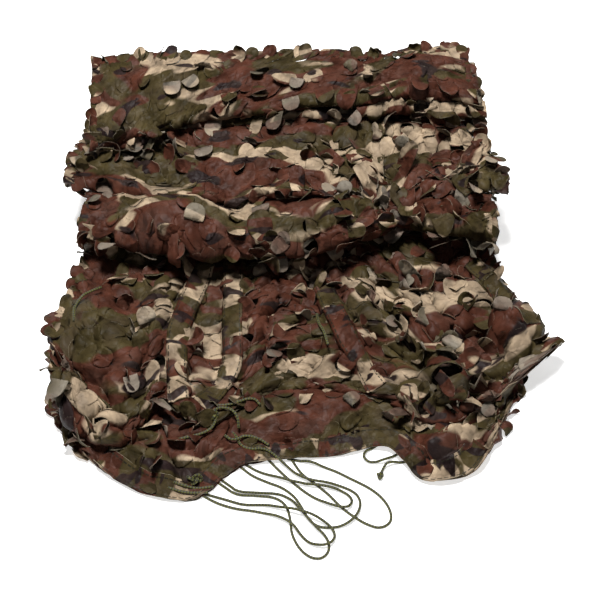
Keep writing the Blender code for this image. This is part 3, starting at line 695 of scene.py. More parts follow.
# %% Layers and folds from above
GRID_STEP = 2.5 * MM
CLOTH_WIDTH = 550 * MM
COLUMNS = round(CLOTH_WIDTH / GRID_STEP) + 1
SHARES = np.linspace(0.0, 1.0, COLUMNS)
SIDES_SCATTER = np.random.default_rng(FOLD_SEED).uniform(-SIDE_SCATTER, SIDE_SCATTER,
                                                         (len(LAYERS), 2))
SWING_POWER, SCATTER_POWER = 3, 4  # how fast a swing and a scatter fade from the side inwards
FEWEST_FOLD_ROWS = 6


def side_swing(swing, depth):
    """How far a side edge swings out: a power curve up to its peak, another one after it."""
    rising = (depth / swing.peak) ** swing.rise
    falling = np.clip((1 - depth) / (1 - swing.peak), 0, None) ** swing.fall
    return swing.out * np.minimum(np.where(depth < swing.peak, rising, falling), 1.0)


def layer_plan(number, depth):
    """A layer from above: at each depth, that share of the way from its back to its front."""
    layer = LAYERS[number]
    depth = np.atleast_1d(depth)[:, None]
    behind = through(LINES[layer.back], SHARES)
    ahead = through(LINES[layer.front], SHARES)
    ahead[:, 1] += WANDER * unevenness(len(layer.front), ahead[:, 0], ahead[:, 1])
    plan = behind + (ahead - behind) * depth[:, :, None]
    for swing in SIDE_SWINGS:
        if swing.layer == layer.name:
            nearness = SHARES if swing.side == "right" else 1 - SHARES
            plan[:, :, 0] += side_swing(swing, depth) * nearness ** SWING_POWER
    left, right = SIDES_SCATTER[number]
    plan[:, :, 0] += left * (1 - SHARES) ** SCATTER_POWER + right * SHARES ** SCATTER_POWER
    return plan, unit(ahead - behind)


def fold_points(lower, depth):
    """A round fold: half a turn from a layer to the next one, bulging past their edges."""
    line, forward = layer_plan(lower, depth)
    far, _ = layer_plan(lower + 1, depth)
    forward = forward if depth == 1.0 else -forward
    tall = (height_of(lower + 1, far[0, :, 0], far[0, :, 1])
            - height_of(lower, line[0, :, 0], line[0, :, 1])).mean()
    steps = max(FEWEST_FOLD_ROWS, round(math.pi / 2 * tall / GRID_STEP))
    turn = (math.pi * np.arange(1, steps + 1) / (steps + 1))[:, None]
    level = (1 - np.cos(turn)) / 2
    plan = line + (far - line) * level[:, :, None]

    def heights_at(plan):
        return [height_of(number, plan[:, :, 0], plan[:, :, 1]) for number in (lower, lower + 1)]

    low, high = heights_at(plan)
    plan = plan + forward * (FOLD_ROUNDNESS * (high - low) * np.sin(turn))[:, :, None]
    low, high = heights_at(plan)
    points = np.concatenate([plan, (low + (high - low) * level)[:, :, None]], axis=2)
    return points, turn[:, 0] / math.pi


# %% The whole strip, row by row
HIDDEN_CRUMPLE = 0.8 * MM
FRONT_FOLD_CRUMPLE = 9 * MM  # a fold that shows, in front
BACK_FOLD_CRUMPLE = 1.5 * MM
SHOWN_BLEND = 0.06  # of a layer's depth, before and after the shown part begins


def shown_share(layer, depth):
    """From 0 where a layer is covered to 1 where it shows."""
    return ramp(depth, layer.covered - SHOWN_BLEND, layer.covered + SHOWN_BLEND)


def mean_run(grid):
    """How far along the cloth each row of a grid lies, as the mean over its columns."""
    steps = np.linalg.norm(np.diff(grid, axis=0), axis=2).mean(axis=1)
    return np.concatenate([[0.0], steps.cumsum()])


stretches = []  # each one's points, and its rows' crumple, layer and depth
for number, layer in enumerate(LAYERS):
    front = number % 2 == 1  # where the strip leaves the layer, and folds over
    length = mean_run(layer_plan(number, [0.0, 1.0])[0])[-1]
    depth = np.linspace(0.0, 1.0, round(length / GRID_STEP) + 1)
    depth = depth if front else depth[::-1]
    plan, _ = layer_plan(number, depth)
    heights = height_of(number, plan[:, :, 0], plan[:, :, 1])
    crumple = HIDDEN_CRUMPLE + (layer.crumple - HIDDEN_CRUMPLE) * shown_share(layer, depth)
    stretches.append((np.concatenate([plan, heights[:, :, None]], axis=2), crumple,
                      np.full(len(depth), float(number)), depth))
    if number < len(LAYERS) - 1:
        fold, turn = fold_points(number, float(front))
        after = LAYERS[number + 1].crumple if front else BACK_FOLD_CRUMPLE
        bulge = FRONT_FOLD_CRUMPLE * np.sin(math.pi * turn) if front else 0.0
        crumple = np.maximum(crumple[-1] * (1 - turn) + after * turn, bulge)
        stretches.append((fold, crumple, number + turn, np.full(len(turn), float(front))))
folded, row_crumple, row_layer, row_depth = [np.concatenate(part) for part in zip(*stretches)]

# %% [markdown]
# ## Folds pushed out and in
# Where the net was gripped and stuffed, the front of a fold bulges out or is drawn in. A push
# moves it forward and down, over a bell-shaped stretch of its width. A fold's number is
# halfway between those of the two layers that it joins.

# %% Push the fronts of the folds
Push = namedtuple("Push", "fold x reach_x forward down begin")
PUSHES = grouped(Push, {
    1.5: [
        (-240, 55, 32, 0, 0.60),  # left bunch, out over the flap
        (-165, 18, -16, 0, 0.70),  # the hollow beside it
        (-110, 32, 22, 2, 0.70),  # below the two long straps
        (190, 50, -8, 0, 0.70)],  # right bunch, behind its lower lobe
    9.5: [
        (-130, 150, 15, 14, 0.40)],  # top step, over the fold below it
    5.5: [
        (-190, 110, -8, 3, 0.60),  # the shelf's front, drawn in and out
        (20, 40, -9, 4, 0.60), (95, 30, 8, 6, 0.60), (165, 35, -10, 5, 0.60)],
}, plain=("begin",))


def pushed(points, layers, depths):
    """Points moved forward and down by the pushes: a bell across, an s-curve from behind."""
    moved = points.copy()
    for push in PUSHES:
        near = np.clip(1.5 - np.abs(layers - push.fold), 0.0, 1.0)
        weight = (near * smooth_step(ramp(depths, push.begin, 1.0)))[:, None]
        weight = weight * np.exp(-((points[:, :, 0] - push.x) / push.reach_x) ** 2)
        moved[:, :, 1] -= push.forward * weight
        moved[:, :, 2] -= push.down * weight
    return moved


smooth_cloth = pushed(folded, row_layer, row_depth)
smooth_cloth[:, :, :2] += ORIGIN_SHIFT
row_v = mean_run(smooth_cloth)
CLOTH_LENGTH = float(row_v[-1])
print(f"cloth {CLOTH_WIDTH} m wide and {CLOTH_LENGTH:.2f} m long, in {len(row_v)} rows")

# %% [markdown]
# ## Crumples
# A thin coated cloth doesn't fall in soft waves: it buckles into flat facets with short
# creases between them, which run every way. Facets of three sizes, on puffs made of noise
# without its sign, push the smooth folds in and out: more in the loose bunches, and less
# where the cloth is pulled flat or a tape lies on it.

# %% Noise on the flat cloth
LATTICE = 256  # a noise repeats after this many squares
NOISE_GAIN = 1.5
NOISE_START, FACETS_START = 40.0, 60.0  # squares, so that no place on the cloth is below 0


def gradient_noise(u, v, size, seed):
    """Smooth noise, about -1 to 1: slopes at a lattice's corners, joined by s-curves."""
    angle = np.random.default_rng(seed).uniform(0.0, 2 * math.pi, (LATTICE, LATTICE))
    a, b = u / size + NOISE_START, v / size + NOISE_START
    i, j = np.floor(a).astype(int), np.floor(b).astype(int)
    s, t = a - i, b - j
    p, q = [x ** 3 * (x * (6 * x - 15) + 10) for x in (s, t)]
    total = 0.0
    for m, near_a in ((0, 1 - p), (1, p)):
        for n, near_b in ((0, 1 - q), (1, q)):
            slope = angle[(i + m) % LATTICE, (j + n) % LATTICE]
            total = total + near_a * near_b * (np.cos(slope) * (s - m) + np.sin(slope) * (t - n))
    return total * NOISE_GAIN


def facets(u, v, size, seed):
    """Flat facets with sharp creases between them, about -1 to 1.

    A lattice's corners have random heights, each square is split into two triangles, and
    each triangle is a flat facet: its height is linear in the two distances from a corner.
    """
    heights = np.random.default_rng(seed).uniform(-1.0, 1.0, (LATTICE, LATTICE))
    turned = math.radians(25.0 + 40.0 * seed)
    a = (u * math.cos(turned) - v * math.sin(turned)) / size + FACETS_START
    b = (u * math.sin(turned) + v * math.cos(turned)) / size + FACETS_START
    i, j = np.floor(a).astype(int), np.floor(b).astype(int)
    s, t = a - i, b - j
    (c00, c01), (c10, c11) = [[heights[(i + m) % LATTICE, (j + n) % LATTICE] for n in (0, 1)]
                              for m in (0, 1)]
    near = c00 + s * (c10 - c00) + t * (c01 - c00)
    far = c11 + (1 - s) * (c01 - c11) + (1 - t) * (c10 - c11)
    return np.where(s + t < 1.0, near, far)


def warped(u, v, reach, size, seed):
    """Places moved aside by noise, up to about the reach."""
    return [place + reach * gradient_noise(u, v, size, seed + order)
            for order, place in enumerate((u, v))]


PUFF_SIZE, PUFF_WIDENING, PUFF_SHARE = 62 * MM, 0.8, 0.16
FACET_SIZES = [(36 * MM, 0.54), (17 * MM, 0.38), (8 * MM, 0.15)]  # size, share


def crumples(u, v):
    """Puffs with pinched valleys, and creased facets on them, about -1 to 1.

    Noise without its sign has a sharp V along every line where it was zero, which makes
    round puffs between pinched valleys.
    """
    u, v = warped(u, v, 12 * MM, 50 * MM, 11)
    puffs = 3.0 * np.abs(gradient_noise(u * PUFF_WIDENING, v, PUFF_SIZE, 13)) - 0.8
    total = PUFF_SHARE * puffs
    for order, (size, share) in enumerate(FACET_SIZES):
        total = total + share * facets(u, v, size, 14 + order)
    return total

# %% [markdown]
# ## Gathers, slopes, pits, grooves and ridges
# Six kinds of fold are put in one by one. A fan of pleats spreads from a point where the net was
# gripped. A slope lowers or lifts a broad stretch, for instance where nothing is stuffed
# into the low fold. A pit is a hollow so deep that it looks black. Grooves wander over the
# bunched cloth as shadow lines between its puffs. A ridge is a gathered fold that stands up
# along a line. And at each side of a strap the net sags into a ditch.

# %% Tables of the folds, in millimetres
Fan = namedtuple("Fan", "layer x y pleats phase reach depth")
FANS = grouped(Fan, {
    "spread": [
        (-160, -190, 13, 0.4, 110, 15),  # left bunch
        (222, -75, 9, 1.1, 60, 9),  # right bunch
        (205, -178, 12, 0.2, 60, 10),  # its lower lobe
        (28, 10, 11, 0.9, 85, 10),  # tuft between the straps
        (110, 40, 9, 0.3, 110, 10),  # right of it, below the roll
        (-50, 45, 13, 0.6, 80, 7)],
    "floor": [
        (-162, -200, 11, 0.0, 110, 11),  # flap below the left bunch
        (196, -177, 13, 0.5, 90, 13)],  # flap below the right bunch
    "shelf": [
        (262, 100, 13, 0.3, 75, 11),  # gathered right end
        (-300, 150, 13, 0.7, 85, 8),  # gathered left end
        (60, 135, 9, 0.2, 90, 9),  # crumpled right half
        (180, 180, 7, 0.9, 80, 8)],
    "roll_over": [
        (262, 85, 13, 1.3, 70, 10)],
}, plain=("pleats", "phase"))

Slope = namedtuple("Slope", "layer x y reach_x reach_y height")
SLOPES = grouped(Slope, {
    "spread": [
        (-10, -118, 115, 50, -11)],
    "lower": [
        (-10, -118, 115, 50, -4)],
    "floor": [
        (-10, -158, 115, 30, 9), (-175, -205, 80, 30, 11), (160, -200, 80, 30, 10)],
    "roll_over": [
        (-180, 112, 150, 34, 14), (120, 112, 130, 32, 12)],
    "shelf": [
        (-190, 122, 150, 36, -13), (120, 112, 140, 34, -11), (-50, 235, 200, 24, 8),
        (140, 232, 150, 22, 9)],
    "shelf_under": [
        (-50, 112, 260, 26, -3)],
    "top": [
        (-30, 250, 260, 28, -4), (150, 238, 170, 22, -5), (-250, 195, 60, 26, -6)],
    "top_lower": [
        (-130, 240, 150, 28, -11), (130, 246, 170, 32, 10)],
    "top_lowest": [
        (-30, 236, 260, 26, -4)],
})

Pit = namedtuple("Pit", "layer x y reach depth")
PITS = grouped(Pit, {
    "spread": [
        (-165, -172, 17, 26), (212, -71, 14, 24), (240, -96, 12, 22), (212, -158, 16, 20),
        (-118, -120, 11, 14), (104, -100, 12, 14), (120, 0, 13, 14), (-30, -20, 10, 9),
        (22, 44, 15, 15), (62, 30, 12, 14), (135, 34, 15, 15), (-105, -20, 9, 10),
        (75, -40, 11, 13), (175, -45, 11, 14), (-225, -115, 11, 12), (140, -110, 12, 16),
        (185, -100, 10, 14), (150, -155, 11, 13), (50, -80, 10, 11)],
    "shelf": [
        (120, 150, 13, 9), (60, 165, 11, 9), (190, 150, 12, 9), (-30, 140, 12, 8)],
    "roll_over": [
        (135, 78, 17, 20), (205, 85, 15, 22), (75, 85, 12, 14), (20, 72, 11, 10)],
})

# A groove runs in a layer from some x on: the left of the upper folds is smooth, and so is
# one slope behind the left bunch.
Groove = namedtuple("Groove", "layer depth from_x")
GROOVES = [Groove("spread", 11 * MM, -400 * MM), Groove("roll_over", 8 * MM, 0 * MM),
           Groove("shelf", 7 * MM, 0 * MM)]
GROOVE_SPACING = 66 * MM
GROOVE_SHARPNESS = 0.11
SMOOTH_SLOPE = Slope("spread", -215 * MM, -35 * MM, 75 * MM, 40 * MM, 0.0)

Ridge = namedtuple("Ridge", "layer width height points")
RIDGES = grouped(Ridge, {
    "spread": [
        (16, 13, [(165, 30), (215, 5), (240, -30), (262, -62)]),  # towards the right corner
        (13, 9, [(150, -60), (165, -105), (180, -150)]),
        (15, 9, [(-285, -95), (-268, -150), (-225, -190)]),
        (13, 8, [(-232, -75), (-205, -120), (-190, -165)])],
    "floor": [
        (10, 6, [(-40, -172), (0, -195), (20, -212)]),
        (10, 7, [(50, -165), (64, -190), (60, -210)]),
        (11, 13, [(122, -236), (165, -204), (222, -192)]),
        (9, 9, [(148, -258), (186, -236), (228, -222)]),
        (10, 9, [(-245, -222), (-200, -236), (-150, -250)])],
})


# %% How far each kind of fold stands out
FAN_BEND = 0.45  # radians that a pleat wanders by the fan's reach
FAN_SHARPNESS, FAN_MIDDLE = 0.7, 0.55


def fan_pleats(fan, x, y):
    """Pleats round a point: a sine of the angle, without its sign, that wanders by noise.

    The power keeps the valleys sharp. The pleats begin 8 mm from the point and fade out in
    a bell.
    """
    x, y = x - fan.x, y - fan.y
    away = np.hypot(x, y)
    bend = FAN_BEND * gradient_noise(x, y, 40 * MM, 61) * away / fan.reach
    angle = np.arctan2(y, x) + bend
    pleat = np.abs(np.sin(fan.pleats * angle / 2 + fan.phase)) ** FAN_SHARPNESS - FAN_MIDDLE
    return fan.depth * pleat * ramp(away, 8 * MM, 32 * MM) * np.exp(-(away / fan.reach) ** 2)


def pit_depth(pit, x, y):
    """A hollow with steep sides: flat-topped bell of the distance from its middle."""
    return -pit.depth * np.exp(-(np.hypot(x - pit.x, y - pit.y) / pit.reach) ** 3)


def groove_lines(u, v):
    """0 in the open and 1 along lines that wander over the cloth, where a noise is zero."""
    level = gradient_noise(*warped(u, v, 10 * MM, 30 * MM, 17), GROOVE_SPACING, 19)
    return np.exp(-(level / GROOVE_SHARPNESS) ** 2)


def ridge_height(ridge, x, y):
    """A bell of the distance from the ridge's line."""
    return ridge.height * np.exp(-(from_lines([ridge.points], x, y) / ridge.width) ** 2)


# %% The lines of the straps and the front tape, which calm the cloth under them
STRAPS = in_metres({
    "binding_strap_left": [(-87, 56), (-85, 12), (-84, -50), (-83, -100), (-100, -135),
        (-118, -160)],
    "binding_strap_outer": [(-122, 56), (-131, 20), (-142, -28), (-149, -78), (-147, -130),
        (-143, -158)],
    "binding_strap_middle": [(30, 20), (36, -5), (45, -40), (56, -72), (78, -108), (92, -136)],
    "binding_strap_right": [(222, 58), (244, 24), (262, -20), (286, -62)],
})
FRONT_BINDING_SPAN = (0.05, 0.94)  # of the free edge
FRONT_BINDING_POINTS = 24
BINDING_WIDTH = 25.0 * MM
BINDING_OVERHANG = 1.0 * MM
STRAP_DITCH = 6 * MM  # how far the net sags at each side of a strap
LEAST_CALM = 0.15


def front_binding_line():
    """The middle of the tape along the free edge, half its width inside the edge."""
    edge = through(LINES["free_edge"], np.linspace(*FRONT_BINDING_SPAN, FRONT_BINDING_POINTS))
    forward = unit(np.gradient(edge, axis=0))
    inside = np.column_stack([-forward[:, 1], forward[:, 0]])
    return edge + inside * (BINDING_WIDTH / 2 - BINDING_OVERHANG) + ORIGIN_SHIFT


STRAP_LINES = {name: middle + ORIGIN_SHIFT for name, middle in STRAPS.items()}
TAPE_LINES = {"binding_front": front_binding_line(), **STRAP_LINES}
CALM_LINES = [*TAPE_LINES.values(), *[line[:, :2] for line in cord_lines.values()]]


def calm_at(x, y):
    """The share of its crumple that the cloth keeps: all in the open, least under a tape."""
    in_the_open = ramp(from_lines(CALM_LINES, x, y), 10 * MM, 20 * MM)
    return LEAST_CALM + (1.0 - LEAST_CALM) * in_the_open


def beside_straps(x, y):
    """From 0 on a strap's middle and in the open up to 1 in the ditch beside it."""
    away = ramp(from_lines(STRAP_LINES.values(), x, y), 8 * MM, 28 * MM)
    return np.sin(math.pi * away) ** 2


def layer_weight(name, reach, shown_only=False):
    """For each row 1 in a layer, down to 0 in its folds, and where asked 0 where covered."""
    number = LAYER_NAMES.index(name)
    weight = np.clip(reach - np.abs(row_layer - number), 0.0, 1.0)
    if shown_only:
        weight = weight * shown_share(LAYERS[number], row_depth)
    return weight[:, None]


# %% Push the smooth folds in and out
# How far into its folds a layer's forms go: reaches for the weights, from its own number.
IN_FOLD, IN_GROOVED_FOLD, IN_SLOPED_FOLD = 1.3, 1.4, 1.5
SLOPED_FOLD_CALM = 0.6  # share of the crumple lost where a fold is sloped away

grid_u, grid_v = np.meshgrid(SHARES * CLOTH_WIDTH, row_v)
plan_x, plan_y = np.moveaxis(smooth_cloth[:, :, :2] - ORIGIN_SHIFT, 2, 0)
calm = calm_at(smooth_cloth[:, :, 0], smooth_cloth[:, :, 1])
swell = crumples(grid_u, grid_v) * row_crumple[:, None]
for fan in FANS:
    swell += fan_pleats(fan, plan_x, plan_y) * layer_weight(fan.layer, IN_FOLD, True)
for pit in PITS:
    swell += pit_depth(pit, plan_x, plan_y) * layer_weight(pit.layer, IN_FOLD, True)
grooves = groove_lines(grid_u, grid_v) * (1.0 - bell(plan_x, plan_y, SMOOTH_SLOPE))
for groove in GROOVES:
    from_left = ramp(plan_x, groove.from_x, groove.from_x + 40 * MM)
    swell -= groove.depth * grooves * from_left * layer_weight(groove.layer, IN_GROOVED_FOLD)
for ridge in RIDGES:
    swell += ridge_height(ridge, plan_x, plan_y) * layer_weight(ridge.layer, IN_FOLD)
swell *= calm
swell -= (STRAP_DITCH * beside_straps(smooth_cloth[:, :, 0], smooth_cloth[:, :, 1])
          * layer_weight("spread", IN_FOLD))
lifted = np.zeros_like(swell)
for slope in SLOPES:
    shape = slope.height * bell(plan_x, plan_y, slope, power=1.5)
    lifted += shape * layer_weight(slope.layer, IN_SLOPED_FOLD)
sloped_away = ramp(-lifted, 0.0, 12 * MM) * (row_layer % 1.0 > 0)[:, None]
swell *= 1.0 - SLOPED_FOLD_CALM * sloped_away
on_floor = np.clip(1.0 - row_layer, 0.0, 1.0)[:, None]
swell += on_floor * np.clip(row_crumple[:, None] - 1 * MM, 0.0, 3 * MM) * calm
print("crumples from", round(swell.min() / MM), "to", round(swell.max() / MM), "mm")


# %% Lean the puffs over their valleys
PINCH = 1.8 * MM  # how far a puff leans out over the valley beside it
PINCH_SLOPE = 1.2  # how soon a slope counts as steep


def normals_of(grid):
    """Unit normals of a grid of points: across the cloth crossed with along it."""
    return unit(np.cross(np.gradient(grid, axis=1), np.gradient(grid, axis=0)))


def leaning(slope):
    """How far each point leans against a slope: the pinch, times tanh of its steepness."""
    pinch = PINCH * ramp(row_crumple, 0.0, 6 * MM)[:, None]
    return (-pinch * np.tanh(PINCH_SLOPE * slope))[:, :, None]


across = np.gradient(smooth_cloth, axis=1) / GRID_STEP
along = np.gradient(smooth_cloth, row_v, axis=0)
cloth = (smooth_cloth + normals_of(smooth_cloth) * swell[:, :, None]
         + across * leaning(np.gradient(swell, axis=1) / GRID_STEP)
         + along * leaning(np.gradient(swell, row_v, axis=0)))
cloth[:, :, 2] += lifted

# %% [markdown]
# ## Layers kept apart
# A deep pit could press one layer through the next. Rays from above on the lower layer find
# where, and lift the upper one there. The net's free edge also lies over the cords that come
# out from under it, and nothing goes below the floor.

# %% Lift what would go through the layer below, the cords or the floor
SHOWN_LAYERS = (2, 4, 6, 8)  # by number; the others have no listed pits
LAYER_GAP = 1.5 * MM
TUCK_HUMP, TUCK_REACH = 4.8 * MM, 6.0 * MM


def kept_above(number, gap):
    """Raise the points of a layer that dip into the layer below it, found by rays."""
    tree = grid_tree(cloth[np.abs(row_layer - (number - 1)) < 0.5])
    for row in (np.abs(row_layer - number) < 0.5).nonzero()[0]:
        for point in cloth[row]:
            below = top_of(tree, point[0], point[1])
            if below is not None:
                point[2] = max(point[2], below + gap)


for number in SHOWN_LAYERS:
    kept_above(number, LAYER_GAP)
flap = row_layer < 0.5
for tuck_line in tuck_lines:
    away = from_lines([tuck_line], cloth[flap, :, 0], cloth[flap, :, 1])
    hump = TUCK_HUMP * np.exp(-(away / TUCK_REACH) ** 2)
    cloth[flap, :, 2] = np.maximum(cloth[flap, :, 2], hump)
cloth[:, :, 2] = np.maximum(cloth[:, :, 2], CLOTH_THICKNESS / 2)
normals = normals_of(cloth)
row_run = mean_run(cloth)
print("crumpled cloth box:", cloth.min(axis=(0, 1)).round(3), cloth.max(axis=(0, 1)).round(3))


# %% Any point of the cloth, found by its place on the flat cloth
def at_flat(values, u, v):
    """A grid's values at flat places: the mean of four grid points, weighted by nearness."""
    row = np.interp(v, row_v, np.arange(len(row_v)))
    column = np.clip(u / CLOTH_WIDTH, 0.0, 1.0) * (COLUMNS - 1)
    i = np.minimum(row.astype(int), len(row_v) - 2)
    j = np.minimum(column.astype(int), COLUMNS - 2)
    s, t = (row - i)[..., None], (column - j)[..., None]
    return ((1 - s) * ((1 - t) * values[i, j] + t * values[i, j + 1])
            + s * ((1 - t) * values[i + 1, j] + t * values[i + 1, j + 1]))


# %% Give a thin cloth its two sides
FABRIC_THICKNESS = 0.4 * MM  # drawn twice as thick as real, so that edges catch light


def two_sided(points, normals, triangles, flat, thickness=FABRIC_THICKNESS):
    """A closed thin solid from one surface.

    The points are moved half the thickness to each side along their normals. The back's
    triangles are turned round, and each open edge gets two triangles across the thickness.
    Returns points, flat places, the back's marks and triangles.
    """
    count = len(points)
    half = normals * (thickness / 2)
    edges = np.concatenate([triangles[:, [0, 1]], triangles[:, [1, 2]], triangles[:, [2, 0]]])
    met = np.isin(edges @ [count, 1], edges @ [1, count])
    a, b = edges[~met].T
    rims = [np.stack([a, a + count, b + count], axis=1), np.stack([a, b + count, b], axis=1)]
    faces = np.concatenate([triangles, triangles[:, ::-1] + count, *rims])
    back = np.repeat([0.0, 1.0], count)
    return np.concatenate([points + half, points - half]), np.tile(flat, (2, 1)), back, faces

# %% [markdown]
# ## Leaves cut into the cloth
# On the real net each leaf is a rounded tongue: a knife cuts round its tip and both sides and
# leaves it joined at the root. Here the flat cloth is a net of cells, each a ring of cloth
# round a leaf-shaped hole, and the leaf is a small curved sheet that starts under the cloth
# at its root.

# %% Cells of the flat cloth and their leaves
CELLS_ACROSS = 17
CELLS_ALONG = round(CLOTH_LENGTH / (31 * MM))
CELL_JITTER = 2.6 * MM
ROOT_SHARE = 0.12  # the root stands this share of the leaf's length inside
LEAF_POWER = 2.5  # 2 is an ellipse, more is squarer
ROOT_WIDTH = 0.72  # of the leaf's greatest width: it is joined by a broad root
LEAF_SPREAD = 1.08  # a limp leaf settles wider than its hole
LEAF_HALF_LENGTHS = (9.6 * MM, 12.8 * MM)
LEAF_HALF_WIDTHS = (7.4 * MM, 10.4 * MM)
LEAF_TURN_SCATTER = 0.55  # radians

cell_rng = np.random.default_rng(21)
cell_u, cell_v = np.meshgrid(np.linspace(0.0, CLOTH_WIDTH, CELLS_ACROSS + 1),
                             np.linspace(0.0, CLOTH_LENGTH, CELLS_ALONG + 1))
cell_u[:, 1:-1] += cell_rng.uniform(-CELL_JITTER, CELL_JITTER, cell_u[:, 1:-1].shape)
cell_v[1:-1] += cell_rng.uniform(-CELL_JITTER, CELL_JITTER, cell_v[1:-1].shape)

# For each cell: its middle, its leaf's half length and half width, and the way it points.
leaf_u, leaf_v = [(corner[:-1, :-1] + corner[1:, :-1] + corner[:-1, 1:] + corner[1:, 1:]) / 4
                  for corner in (cell_u, cell_v)]
leaf_long = cell_rng.uniform(*LEAF_HALF_LENGTHS, leaf_u.shape)
leaf_wide = cell_rng.uniform(*LEAF_HALF_WIDTHS, leaf_u.shape)
leaf_turn = (np.where(np.indices(leaf_u.shape).sum(axis=0) % 2 == 0, 0.5, -0.5) * math.pi
             + cell_rng.normal(0.0, LEAF_TURN_SCATTER, leaf_u.shape))
print(CELLS_ACROSS, "by", CELLS_ALONG, "cells")


def leaf_reach(turn, long, wide):
    """Distance from a leaf's middle to its edge at an angle from its length: a soft oblong."""
    return (np.abs(np.cos(turn) / long) ** LEAF_POWER
            + np.abs(np.sin(turn) / wide) ** LEAF_POWER) ** (-1 / LEAF_POWER)


# %% A sheet of cells with leaf holes
RAGGED_DEPTH, RAGGED_SIZE = 5 * MM, 17 * MM  # notches in the net's side edges
SAME_PLACE = 1e-3 * MM  # points nearer than this are one
ON_EDGE = 1e-6


def cell_sheet(first, last, side_points, open_leaf):
    """Flat places and triangles of some rows of cells, each a ring round its leaf's hole.

    The outer ring of a cell lies on its four sides. For each of its points the hole has one
    in the same direction from the leaf's middle, and a third ring lies halfway between.
    A cell whose leaf is not cut has its hole closed by triangles to the middle.
    """
    i, j = [x.ravel() for x in np.meshgrid(np.arange(first, last), np.arange(CELLS_ACROSS),
                                           indexing="ij")]
    step = np.arange(side_points) / side_points
    zero, one = np.zeros(side_points), np.ones(side_points)
    a = np.concatenate([step, one, 1 - step, zero])[None, :]
    b = np.concatenate([zero, step, one, 1 - step])[None, :]
    outer_u, outer_v = [(1 - a) * (1 - b) * cell[i, j][:, None]
                        + a * (1 - b) * cell[i, j + 1][:, None]
                        + (1 - a) * b * cell[i + 1, j][:, None]
                        + a * b * cell[i + 1, j + 1][:, None] for cell in (cell_u, cell_v)]
    middle_u, middle_v, turn, long, wide = [
        values[i, j][:, None] for values in (leaf_u, leaf_v, leaf_turn, leaf_long, leaf_wide)]
    ragged = RAGGED_DEPTH * np.abs(gradient_noise(outer_v, outer_v * 0.3, RAGGED_SIZE, 31))
    inset = np.where(outer_u < ON_EDGE, ragged,
                     np.where(outer_u > CLOTH_WIDTH - ON_EDGE, -ragged, 0))
    direction = np.arctan2(outer_v - middle_v, outer_u - middle_u)
    reach = leaf_reach(direction - turn, long, wide)
    hole_u = middle_u + reach * np.cos(direction)
    hole_v = middle_v + reach * np.sin(direction)
    outer_u = outer_u + inset
    rings_u = (outer_u, (outer_u + hole_u) / 2, hole_u, middle_u)
    rings_v = (outer_v, (outer_v + hole_v) / 2, hole_v, middle_v)
    flat = np.stack([np.concatenate([ring.ravel() for ring in rings])
                     for rings in (rings_u, rings_v)], axis=1)
    count, around = len(i), 4 * side_points
    at = np.arange(3 * count * around).reshape(3, count, around)
    beside = np.roll(at, -1, axis=2)
    triangles = []
    for ring in (0, 1):
        triangles.append(np.stack([at[ring], beside[ring], beside[ring + 1]], axis=-1))
        triangles.append(np.stack([at[ring], beside[ring + 1], at[ring + 1]], axis=-1))
    centres = np.broadcast_to((at.size + np.arange(count))[:, None], (count, around))
    closed = ~open_leaf[i, j]
    triangles.append(np.stack([at[2], beside[2], centres], axis=-1)[closed])
    triangles = np.concatenate([t.reshape(-1, 3) for t in triangles])
    keys = np.round(flat / SAME_PLACE).astype(np.int64)
    _, first_of, same_as = np.unique(keys, axis=0, return_index=True, return_inverse=True)
    used, triangles = np.unique(same_as.ravel()[triangles], return_inverse=True)
    return flat[first_of[used]], triangles.reshape(-1, 3)

# %% [markdown]
# ## Each leaf is a small curved sheet
# A leaf hangs on its root. It lifts by some angle, curls along its length, may have one sharp
# crease, twists, and is a little cupped. A leaf that is hardly lifted lies on the cloth
# below it instead, and follows its crumples.

# %% Leaves as small curved sheets
SOFT_CEILING = CAD_BOX[1][2]  # leaves that would stand higher bend over instead
CEILING_ROOM = 11 * MM
Leaves = namedtuple("Leaves", "u v turn long wide lift curl twist cup crease crease_at")
ROOT_START = -0.24  # of the leaf's length, under the cloth before its root
CREASE_WIDTH = 0.10  # of the leaf's length, over which it bends at its crease
CREASE_SLANT = 0.15
LIFT_LENGTH = 0.25  # of the leaf's length, over which it turns up
SETTLE_LENGTH = 0.3  # over which a resting leaf comes out on to the cloth
RESTING_BELOW, FREE_ABOVE = 0.3, 0.8  # radians of lift and curl together
LEAF_OFF_FLOOR = 0.6 * MM
STACKED_LEAVES = 7  # leaves at rest lie at this many heights, to clear others
TINY = 1e-12


